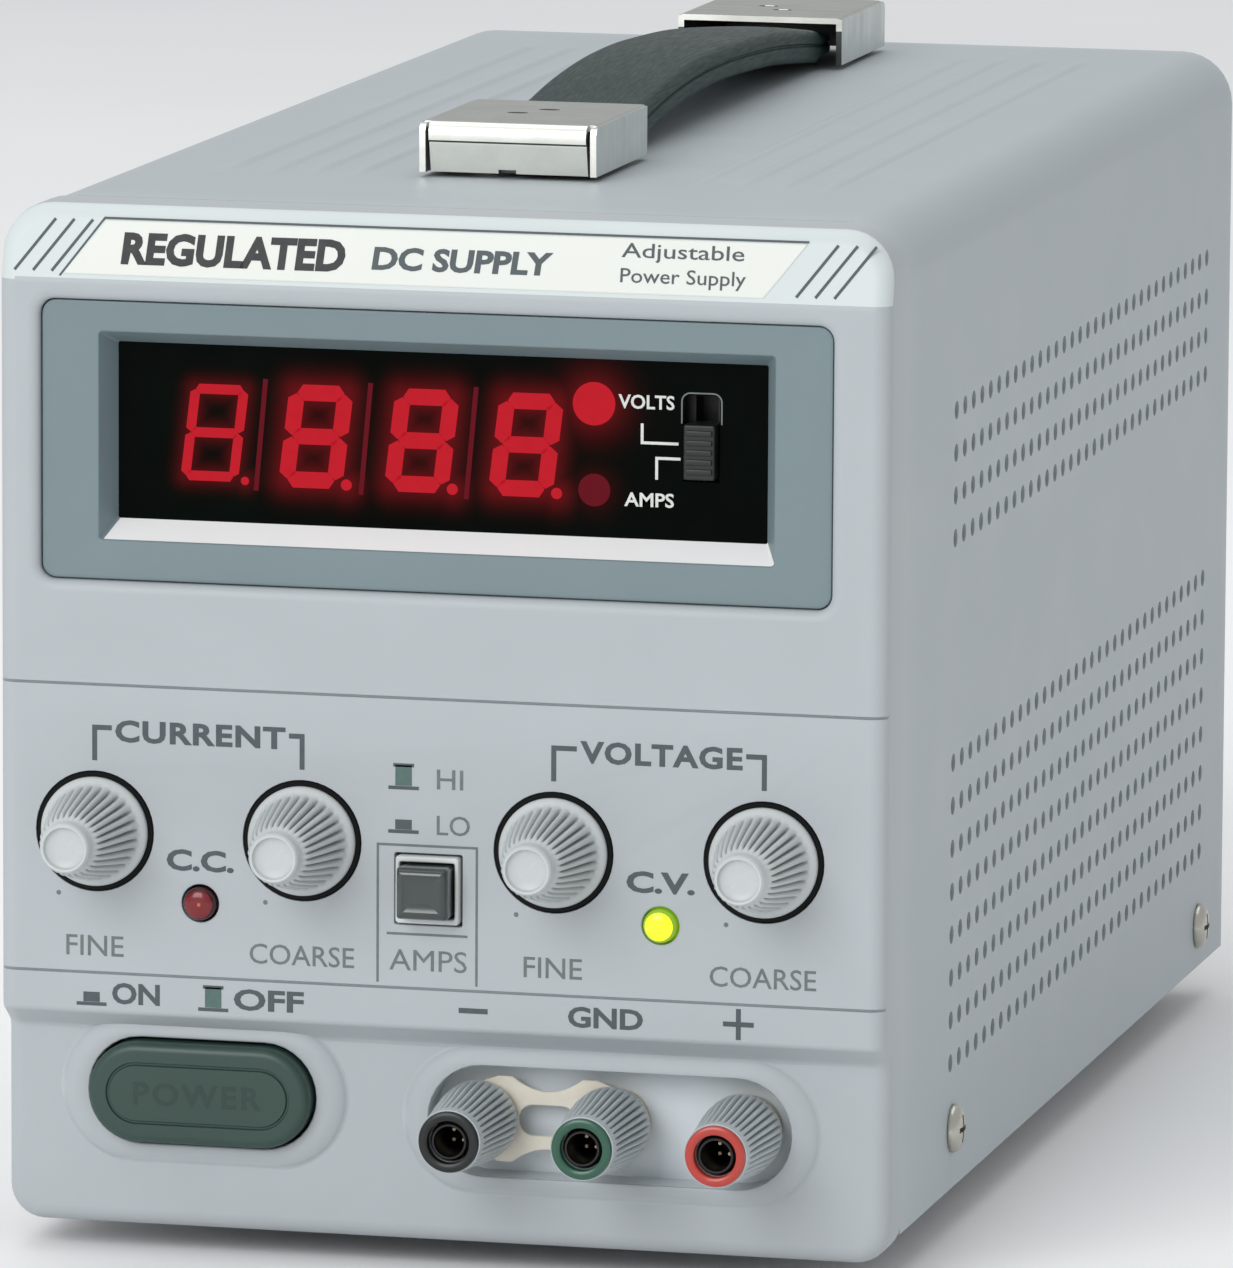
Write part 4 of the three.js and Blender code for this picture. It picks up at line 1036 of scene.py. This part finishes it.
def make_terminal(colour, at):
    """Fluted nut with a coloured ring at its mouth, the threaded post inside it and its washer."""
    flutes = 34
    front, rear = case_box("nut_" + colour)[0].y, case_box("nut_" + colour)[1].y
    outside = [(NUT_BORE, rear), (5.35, rear), (5.7, rear - 0.35), (5.75, rear - 1.6), (5.7, rear - 3.6),
               (5.5, rear - 6.0), (5.2, rear - 8.6), (4.95, rear - 11.0), (4.78, rear - 13.2),
               (4.66, rear - 14.6), (4.55, front + 2.2), (4.5, front + 0.75)]
    depth = {3: 0.06, 4: 0.09, 5: 0.1, 6: 0.1, 7: 0.1, 8: 0.09, 9: 0.06}

    def ripple(k, a):
        return 1.0 - depth.get(k, 0.0) * flute(a, flutes)
    body = outside + [(4.35, front + 0.62), (4.35, front + 1.4), (NUT_BORE, front + 1.4)]
    bm = turned_ring(body, at, flutes * 6, ripple)
    mark_flutes(bm, at, flutes, front + 2.5, rear - 1.2)
    piece(f"nut_{colour}_body", bm, "nut", body="nut_" + colour,
          replaces=["nut_" + colour], angle=40)
    ring = [(RING_BORE, front + 1.38), (4.32, front + 1.38), (4.32, front + 0.5), (4.2, front + 0.15),
            (3.95, front), (3.3, front + 0.02), (3.05, front + 0.2), (RING_BORE, front + 0.5)]
    piece(f"nut_{colour}_ring", turned_ring(ring, at, 64), colour, body="nut_" + colour,
          angle=40)
    low, high = case_box("post_" + colour)
    bm = bmesh.new()
    post = [(2.05, -1.0), (2.05, low.y + 0.3), (2.2, low.y), (2.45, low.y), (POST_R, low.y + 0.2)]
    y = low.y + 0.9
    while y < 5.2:
        post += [(POST_R, y), (2.42, y + 0.25), (POST_R, y + 0.5)]
        y += 0.8
    post += [(POST_R, 5.9), (4.5, 5.9), (4.7, 6.1), (4.7, 7.7), (2.7, 7.7), (2.7, 10.8), (4.6, 10.8),
             (4.6, 13.5), (1.6, 13.5), (1.6, 19.8), (1.3, 20.0)]
    turned(bm, post, at, 32)
    for f in bm.faces:
        c = f.calc_center_median()
        # Material 1 is the black front sleeve, and the bore behind it is painted black: painted shade.
        bore_painted_shade = math.hypot(c.x - at.x, c.z - at.z) < 2.3 and c.y < 0
        f.material_index = int(bore_painted_shade or c.y < low.y + 4.5)
    for k in range(4):
        a = math.pi / 4 + k * math.pi / 2
        at_leaf = Vector((at.x + 1.0 * math.cos(a), 0, at.z + 1.0 * math.sin(a)))
        turned(bm, [(0.25, low.y + 5.5), (0.25, -1.5)], at_leaf, 10)
    piece(f"post_{colour}_stud", bm, ["brass", "socket"], replaces=["post_" + colour])
    disc = [(NUT_BORE, 3.85), (5.1, 3.8), (5.4, 3.95), (5.4, 4.45), (5.1, 4.6), (NUT_BORE, 4.55)]
    piece(f"washer_{colour}_disc", turned_ring(disc, at, 40), "nickel", body="washer_" + colour,
          replaces=["washer_" + colour])


LINK_END, LINK_CORNER, LINK_WAIST = 5.2, 6.1, 4.1


def link_outline(a, b, steps=12):
    """The link's edge in x and z: round ends behind the nuts and a waist curved in on both sides."""
    from_x, to_x = a.x + 4.4, b.x - 4.4
    lower = [(a.x + 2.4, a.z - LINK_CORNER)]
    for k in range(steps + 1):
        t = k / steps
        rise = (LINK_CORNER - LINK_WAIST) * 4 * t * (1 - t)
        lower.append((from_x + t * (to_x - from_x), a.z - LINK_CORNER + rise))
    lower.append((b.x - 2.4, a.z - LINK_CORNER))
    upper = [(x, 2 * a.z - z) for x, z in lower[::-1]]
    return lower + arc(b.x, b.z, LINK_END, -90, 90, 14) + upper + arc(a.x, a.z, LINK_END, 90, 270, 14)


def make_link():
    a, b = POST_AT[0], POST_AT[1]
    bm = bmesh.new()
    outline = link_outline(a, b)
    loft(bm, [[(x, y, z) for x, z in outline] for y in (4.9, 5.6)])
    cuts = [turned_shape([(3.0, 4), (3.0, 7)], p, 32) for p in (a, b)]
    hole = bmesh.new()
    centre = (a + b) / 2
    loft(hole, [[(x, y, z) for x, z in oval(centre, 4.2, 2.2)] for y in (4, 7)])
    bm = combine(bm, cuts=cuts + [hole])
    edges = [e for e in bm.edges if e.calc_face_angle(0) > 1.0]
    bmesh.ops.bevel(bm, geom=edges, offset=0.12, segments=2, affect="EDGES")
    piece("terminal_link", bm, "link", replaces=["shorting_link"])


# ---------------------------------------------------------------- cover
def cover_lines_y():
    """Lines across the cover: its ends, screws and one line on each side of every vent hole."""
    lines = [BEZEL_D + 0.3, SCREWS_YZ[0][0] - 24]
    lines += [VENT_Y0 + (i - 0.5) * VENT_PITCH for i in range(VENT_HOLES + 1)]
    return lines + [CASE_D - 6, CASE_D]


def rib_height(x):
    for r in RIBS_X:
        off = abs(abs(x) - r)
        if off < RIB_HALF:
            return RIB_H * (0.5 + 0.5 * math.cos(math.pi * off / RIB_HALF)) ** 0.6
    return 0.0


def cover_profile():
    """The cover's section from the left bottom edge over the top: (x, z, outward normal)."""
    levels = {COVER_BOTTOM, CASE_H - COVER_R, MIDDLE_LINE_Z}
    for z, reach in VENT_ROWS:
        levels |= {round(z - reach, 3), round(z + reach, 3)}
    levels.add(SCREWS_YZ[0][1] + 3.0)
    levels = sorted(levels)
    merged = [levels[0]]
    for z in levels[1:]:
        if z - merged[-1] > 0.2:
            merged.append(z)
    left = [(-COVER_HALF, z, (-1.0, 0.0)) for z in merged]
    corner = []
    for k in range(1, 8):
        a = math.radians(180 - 90 * k / 8)
        corner.append((-COVER_HALF + COVER_R + COVER_R * math.cos(a),
                       CASE_H - COVER_R + COVER_R * math.sin(a), (math.cos(a), math.sin(a))))
    top = [(-COVER_HALF + COVER_R, CASE_H, (0.0, 1.0))]
    for r in sorted(RIBS_X, reverse=True):
        top += [(0.5 * k - r, CASE_H, (0.0, 1.0)) for k in range(-3, 4)]
    top = sorted(top)
    half = left + corner + top
    return half + [(-x, z, (-n[0], n[1])) for x, z, n in half[::-1]]


def vent_hole(bm, sheets, y, z):
    """One punched hole: the square in each sheet gets a round hole, and a round wall joins the two."""
    rims = []
    for corners in sheets:
        angles = [math.atan2(c.co.z - z, c.co.y - y) for c in corners]
        arcs = []
        for a, b in zip(angles, angles[1:] + angles[:1]):
            turn = (b - a + math.pi) % (2 * math.pi) - math.pi
            arcs.append([bm.verts.new((corners[0].co.x, y + VENT_R * math.cos(a + turn * k / 3),
                                       z + VENT_R * math.sin(a + turn * k / 3))) for k in range(3)])
        for q, rim in enumerate(arcs):
            after = (q + 1) % 4
            bm.faces.new([corners[q], corners[after], arcs[after][0]] + rim[::-1])
        rims.append(sum(arcs, []))
    for i in range(12):
        j = (i + 1) % 12
        bm.faces.new((rims[0][i], rims[0][j], rims[1][j], rims[1][i]))


def make_cover():
    profile, ys = cover_profile(), cover_lines_y()
    bm = bmesh.new()

    def sheet(drop):
        """Every corner of one face of the sheet, drop below the outer face."""
        grid = []
        for x, z, n in profile:
            rib = rib_height(x) if n[1] == 1.0 else 0.0
            grid.append([bm.verts.new((x - n[0] * drop, y, z + (rib if ys[3] < y < ys[-4] else 0.0)
                                       - n[1] * drop)) for y in ys])
        return grid
    outer, inner = sheet(0.0), sheet(SHEET)
    last_k, last_j = len(profile) - 1, len(ys) - 1
    for k in range(last_k):
        (_, za, na), (_, zb, nb) = profile[k], profile[k + 1]
        row = [z for z, _ in VENT_ROWS if abs((za + zb) / 2 - z) < 0.6 and na[1] == nb[1] == 0.0]
        for j in range(last_j):
            corners = ((k, j), (k, j + 1), (k + 1, j + 1), (k + 1, j))
            quads = [[grid[a][b] for a, b in corners] for grid in (outer, inner)]
            if row and 2 <= j < 2 + VENT_HOLES:
                vent_hole(bm, quads, (ys[j] + ys[j + 1]) / 2, row[0])
            else:
                for quad in quads:
                    bm.faces.new(quad)
    for j in (0, last_j):
        for k in range(last_k):
            bm.faces.new((outer[k][j], outer[k + 1][j], inner[k + 1][j], inner[k][j]))
    for k in (0, last_k):
        for j in range(last_j):
            bm.faces.new((outer[k][j], outer[k][j + 1], inner[k][j + 1], inner[k][j]))
    piece("folded_cover", bm, "cover", replaces=["top_cover"], angle=35)


def make_side_screw(node):
    low, high = case_box(node)
    side = 1 if middle(node).x > 0 else -1
    y, z = middle(node).y, middle(node).z
    out = COVER_HALF + 0.05
    bm = bmesh.new()
    rings = []
    for r, d in ((1.4, -5.8), (1.4, -1.3), (1.4, 0.0), (3.45, 0.02), (3.5, 0.35), (3.3, 0.85), (2.8, 1.25),
                 (2.1, 1.5), (1.2, 1.62), (0.3, 1.66)):
        rings.append([(side * (out + d), v, w) for v, w in arc(y, z, r, 0, 350, 35)])
    loft(bm, rings)
    cuts = []
    for dy, dz in ((2.0, 0.36), (0.36, 2.0)):
        x0, x1 = sorted((side * (out + 0.75), side * (out + 3)))
        cuts.append(box_shape((x0, y - dy, z - dz), (x1, y + dy, z + dz)))
    piece(node + "_head", combine(bm, cuts=cuts), "screw", replaces=[node], angle=40)


# ---------------------------------------------------------------- handle
CAP_WALL, FLAP_GAP, LINER_Y = 0.9, 0.55, 2.5
DIMPLES = ((-2.3, 15.2), (1.1, 20.4))
DIMPLE_R, DIMPLE_UP = 2.6, 2.05


def cap_flap_line(nose, tail, s, z0, z1, wall):
    """Section of the cap's top and nose flap in y and z, with a rolled edge that bulges forwards."""
    outer = [(1.5, z0), (0.55, z1 - 3.3), (0.5, z1 - 2.9), (0.08, z1 - 2.6), (0.0, z1 - 1.7),
             (0.12, z1 - 0.95), (0.5, z1 - 0.35), (1.1, z1 - 0.04), (1.5, z1)]
    inner = [(1.8, z1 - wall), (1.2, z1 - wall - 0.3), (1.0, z1 - wall - 0.9), (1.0, z1 - 2.5),
             (1.45, z1 - 3.1), (1.5 + wall, z0)]
    length = abs(tail - nose)
    line = outer + [(length, z1), (length, z1 - wall)] + inner
    return [(nose + s * y, z) for y, z in line]


def make_cap(node, opening):
    """A folded plated cap: pressed top, a nose flap between two side flanges, open to the strap.

    A plate behind the flap keeps light out of the gaps beside it. Materials are lit and shaded
    copies of one nickel: 0 top, 1 sides painted lighter, 2 flap and front edges with painted
    highlight, 3 the inside and the dimples, in painted shade.
    """
    low, high = case_box(node)
    wall, gap, s = CAP_WALL, FLAP_GAP, opening
    nose, tail = (low.y, high.y) if opening > 0 else (high.y, low.y)
    x0, x1, z0, z1 = low.x, high.x, low.z, high.z
    base = bmesh.new()
    section = cap_flap_line(nose, tail, s, z0, z1, wall)
    loft(base, [[(x, y, z) for y, z in section] for x in (x0 + wall + gap, x1 - wall - gap)])
    joins = []
    for side, edge in ((1, x0), (-1, x1)):
        flange = [(nose + s * y, z) for y, z in (
            (0.5, z0), (0.3, z1 - 1.4), (0.7, z1 - 0.6), (1.4, z1 - 0.2))]
        flange += [(tail, z1 - 0.2), (tail, z0)]
        part = bmesh.new()
        loft(part, [[(edge + side * d, y, z) for y, z in flange] for d in (0, wall)])
        joins.append(part)
        shoulder = bmesh.new()
        corner = [(edge, z1 - 2.0)] + [
            (edge + side * 0.8 * (1 - math.cos(a)), z1 - 0.8 + 0.8 * math.sin(a))
            for a in (math.pi / 10 * k for k in range(6))] + [(edge + side * 3.0, z1),
                                                           (edge + side * 3.0, z1 - wall),
                                                           (edge + side * wall, z1 - wall),
                                                           (edge + side * wall, z1 - 2.0)]
        loft(shoulder, [[(x, y, z) for x, z in corner] for y in (nose + s * 2.0, tail)])
        joins.append(shoulder)
    y0, y1 = sorted((nose + s * LINER_Y, nose + s * (LINER_Y + 0.5)))
    joins.append(box_shape((x0 + wall - 0.1, y0, z0), (x1 - wall + 0.1, y1, z1 - wall + 0.1)))
    cuts = []
    for dx, along in DIMPLES:
        dimple = bmesh.new()
        bmesh.ops.create_uvsphere(dimple, u_segments=24, v_segments=16, radius=DIMPLE_R)
        bmesh.ops.scale(dimple, vec=(1.0, 0.6, 1.0), verts=dimple.verts)
        centre = ((x0 + x1) / 2 + dx, nose + s * along, z1 + DIMPLE_UP)
        bmesh.ops.translate(dimple, vec=centre, verts=dimple.verts)
        cuts.append(dimple)
    mid = (x0 + x1) / 2
    y0, y1 = sorted((nose - s * 1, nose + s * 2.4))
    cuts.append(box_shape((mid - 1.6, y0, z0 - 1), (mid + 1.0, y1, z0 + 0.55)))
    bm = combine(base, joins, cuts)
    # Faces by which way they point: sides painted lighter, flap and front edges painted bright, undersides,
    # inner flanges, the back plate and the dimples painted shade.
    for f in bm.faces:
        c = f.calc_center_median()
        inner = abs(f.normal.x) > 0.7 and f.normal.x * (c.x - mid) < 0 and abs(c.z - z0) > 0.2
        back_plate = abs(f.normal.y) > 0.7 and 2.3 < s * (c.y - nose) < 3.2
        if f.normal.z < -0.6 or back_plate or (inner and s * (c.y - nose) > 2.4):
            f.material_index = 3
        elif abs(f.normal.x) > 0.7:
            f.material_index = 1
        elif abs(c.y - nose) < 2.2 and f.normal.y * s < 0.2:
            f.material_index = 2
        elif f.normal.y * s > 0.7:
            f.material_index = 2 if c.z > z1 - wall - 0.1 else 3
        elif z1 - 0.6 < c.z < z1 - 0.03 and abs(c.x - mid) < 5 and f.normal.z > 0.3:
            f.material_index = 3
    piece(node + "_plate", bm, ["nickel", "nickel_side_painted_light", "nickel_flap_painted_highlight", "nickel_shade"],
          replaces=[node], angle=32)


# The strap's middle line as y, z points; its ends lie inside the caps.
STRAP_POINTS = [(71, 149.2), (75, 149.2), (79, 149.2), (85, 149.4), (92, 150.1), (100, 151.1),
                (108, 151.9), (118, 152.6), (128, 153.0), (141, 153.1), (153, 152.8), (172, 152.0),
                (187, 150.9), (198, 149.9), (205, 149.2), (211, 149.1)]
STRAP_CAPS = (78.0, 205.0)
STRAP_THIN, STRAP_THICK = 3.4, 5.4
STRAP_CROWN = 0.35


def strap_line(steps):
    """Points along the strap, by a smooth curve through STRAP_POINTS."""
    pts = [Vector(p) for p in STRAP_POINTS]
    pts = [pts[0] * 2 - pts[1]] + pts + [pts[-1] * 2 - pts[-2]]
    line = []
    for i in range(1, len(pts) - 2):
        p0, p1, p2, p3 = pts[i - 1:i + 3]
        for k in range(steps):
            t = k / steps
            line.append(0.5 * ((2 * p1) + (p2 - p0) * t + (2 * p0 - 5 * p1 + 4 * p2 - p3) * t * t
                               + (3 * p1 - p0 - 3 * p2 + p3) * t ** 3))
    line.append(pts[-2])
    return line


def strap_section(half_w, half_t):
    """Strap section: a slightly domed top, rounded edges and a groove along each side."""
    r = min(1.1, half_t * 0.45)
    top = half_t - STRAP_CROWN
    points = arc(half_w - r, top - r, r, 0, 90, 4)
    for k in range(1, 10):
        x = (half_w - r) * (1 - k / 5)
        points.append((x, top + STRAP_CROWN * (1 - (x / (half_w - r)) ** 2)))
    points += arc(-half_w + r, top - r, r, 90, 180, 4)
    points += [(-half_w, 0.35), (-half_w + 0.4, 0.1), (-half_w + 0.4, -0.1), (-half_w, -0.35)]
    points += arc(-half_w + r, -half_t + r, r, 180, 270, 4) + arc(half_w - r, -half_t + r, r, 270, 360, 4)
    return points + [(half_w, -0.35), (half_w - 0.4, -0.1), (half_w - 0.4, 0.1), (half_w, 0.35)]


def make_strap():
    line = strap_line(5)
    centre_x = middle("strap_front").x
    half_w = (case_box("strap_front")[1].x - case_box("strap_front")[0].x) / 2
    rings = []
    for i, p in enumerate(line):
        ahead = (line[min(i + 1, len(line) - 1)] - line[max(i - 1, 0)]).normalized()
        from_cap = min(p.x - STRAP_CAPS[0], STRAP_CAPS[1] - p.x)
        t = min(1.0, max(0.0, (from_cap + 2) / 4))
        half_t = (STRAP_THIN + (STRAP_THICK - STRAP_THIN) * t * t * (3 - 2 * t)) / 2
        rings.append([(centre_x + x, p.x - ahead.y * z, p.y + ahead.x * z)
                      for x, z in strap_section(half_w, half_t)])
    bm = bmesh.new()
    loft(bm, rings)
    obj = piece("strap_band", bm, "strap", body=None,
                replaces=["strap_front", "strap_rear"], angle=50)
    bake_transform(obj)


# ---------------------------------------------------------------- feet, back and inner works
def make_foot(node):
    at = middle(node)
    low, high = case_box(node)
    rings = []
    for r, z in ((7.0, high.z), (7.4, high.z - 0.3), (7.3, high.z - 1.5), (6.7, low.z + 0.9),
                 (6.3, low.z + 0.25), (5.9, low.z), (3.2, low.z), (2.9, low.z + 0.5),
                 (2.9, low.z + 2.6), (0.4, low.z + 2.6)):
        rings.append([(x, y, z) for x, y in arc(at.x, at.y, r, 0, 351, 39)])
    bm = bmesh.new()
    loft(bm, rings)
    piece(node + "_rubber", bm, "rubber", replaces=[node])


def dress_cad_nodes():
    """CAD nodes whose shape is right: a finish, and softened edges where they show."""
    finishes = {
        "rear_panel": ("cover", 0.25), "heat_sink": ("alloy", 0.35), "mains_inlet": ("black", 0.3),
        "fuse_cap": ("black", 0.4), "voltage_selector": ("black", 0.25), "selector_slider": ("red", 0.3),
        "base_chassis": ("steel", 0.2), "digit_display": ("socket", 0.2), "meter_board": ("board", 0),
        # The meter switch is black so the slider's slot looks dark inside: painted shade.
        "meter_switch": ("socket", 0.2), "control_board": ("board", 0), "amps_switch": ("black", 0.3),
        "power_switch": ("black", 0.3), "main_board": ("board", 0), "filter_capacitor_1": ("sleeve", 0.6),
        "filter_capacitor_2": ("sleeve", 0.6), "bridge_rectifier": ("black", 0.5),
        "transformer_core": ("core", 0.4), "transformer_coil": ("copper", 1.2),
    }
    for i in range(1, 5):
        finishes[f"potentiometer_{i}"] = ("steel", 0.3)
    for name, (material, edge) in finishes.items():
        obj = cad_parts[name]
        obj.data.materials.clear()
        obj.data.materials.append(MATERIAL[material])
        if edge:
            bevel = obj.modifiers.new("soft_edges", "BEVEL")
            bevel.width, bevel.segments = edge * MM, 2
            bevel.limit_method, bevel.angle_limit = "ANGLE", math.radians(40)
            bevel.use_clamp_overlap = True


# ---------------------------------------------------------------- floor, light and camera
def make_stage():
    mesh = bpy.data.meshes.new("floor")
    bm = bmesh.new()
    bmesh.ops.create_grid(bm, x_segments=1, y_segments=1, size=8)
    bm.to_mesh(mesh)
    bm.free()
    floor = bpy.data.objects.new("floor", mesh)
    bpy.context.scene.collection.objects.link(floor)
    n = Nodes("floor_paper")
    where = n.coordinates()
    n.link(n.tint(n.noise(where, 3), hexcolor(243, 244, 245), hexcolor(250, 250, 250)), "Base Color")
    n.shader.inputs["Roughness"].default_value = 0.9
    mesh.materials.append(n.material)

    world = bpy.data.worlds.new("studio")
    bpy.context.scene.world = world
    world.use_nodes = True
    back = world.node_tree.nodes["Background"]
    back.inputs["Color"].default_value = (0.98, 0.99, 1.0, 1)
    back.inputs["Strength"].default_value = 0.6

    def softbox(name, at, aim_height, size, watts):
        light = bpy.data.lights.new(name, "AREA")
        light.shape, light.size, light.size_y = "RECTANGLE", size, size
        light.energy = watts
        obj = bpy.data.objects.new(name, light)
        bpy.context.scene.collection.objects.link(obj)
        obj.location = at
        obj.rotation_euler = (Vector((0, 0, aim_height)) - Vector(at)).to_track_quat("-Z", "Y").to_euler()
    softbox("key", (-0.6, -1.85, 1.05), 0.07, 1.2, 22)
    softbox("top", (-0.1, 0.4, 1.7), 0.08, 1.6, 9.5)


CAMERA_AT = (0.41674, -1.72037, 0.34573)
CAMERA_YAW, CAMERA_PITCH, CAMERA_ROLL = 13.796, 8.780, 0.318
LENS_MM, SENSOR_MM = 339.7, 36.0


def make_camera():
    yaw, pitch, roll = (math.radians(a) for a in (CAMERA_YAW, CAMERA_PITCH, CAMERA_ROLL))
    ahead = Vector((-math.sin(yaw) * math.cos(pitch), math.cos(yaw) * math.cos(pitch), -math.sin(pitch)))
    right = Vector((math.cos(yaw), math.sin(yaw), 0))
    up = right.cross(ahead)
    right, up = (math.cos(roll) * right + math.sin(roll) * up,
                 -math.sin(roll) * right + math.cos(roll) * up)
    data = bpy.data.cameras.new("camera")
    data.lens, data.sensor_width, data.sensor_fit = LENS_MM, SENSOR_MM, "AUTO"
    data.clip_start, data.clip_end = 0.05, 50
    obj = bpy.data.objects.new("camera", data)
    bpy.context.scene.collection.objects.link(obj)
    basis = Matrix((right, up, -ahead)).transposed().to_4x4()
    obj.matrix_world = Matrix.Translation(CAMERA_AT) @ basis
    bpy.context.scene.camera = obj


# ---------------------------------------------------------------- assembly
make_camera()
make_stage()
make_bezel()
make_panel_print()
make_label()
make_display_frame()
make_window()
make_digits()
make_window_print()
make_slider()
for index, where in enumerate(KNOB_AT):
    make_knob(index, where)
# The C.C. lamp is off: the glow of its lens and rim is painted light and its specks are painted glints.
make_lamp("cc_lamp", "lamp_dark", "lamp_red", "lamp_spark",
          ((-0.1, 0.95, 0.36), (0.15, 0.0, 0.3), (-0.1, -0.95, 0.26)))
make_lamp("cv_lamp", "lamp_rim", "lamp_on", "lamp_core", ((0.45, 0.1, 0.8),))
make_amps()
make_power()
for colour, where in zip(("black", "green", "red"), POST_AT):
    make_terminal(colour, where)
make_link()
make_cover()
for side in ("left", "right"):
    for number in (1, 2):
        make_side_screw(f"side_screw_{side}_{number}")
        make_foot(f"foot_{side}_{number}")
make_cap("handle_cap_front", 1)
make_cap("handle_cap_rear", -1)
make_strap()
dress_cad_nodes()
bpy.context.scene.view_settings.view_transform = "Standard"
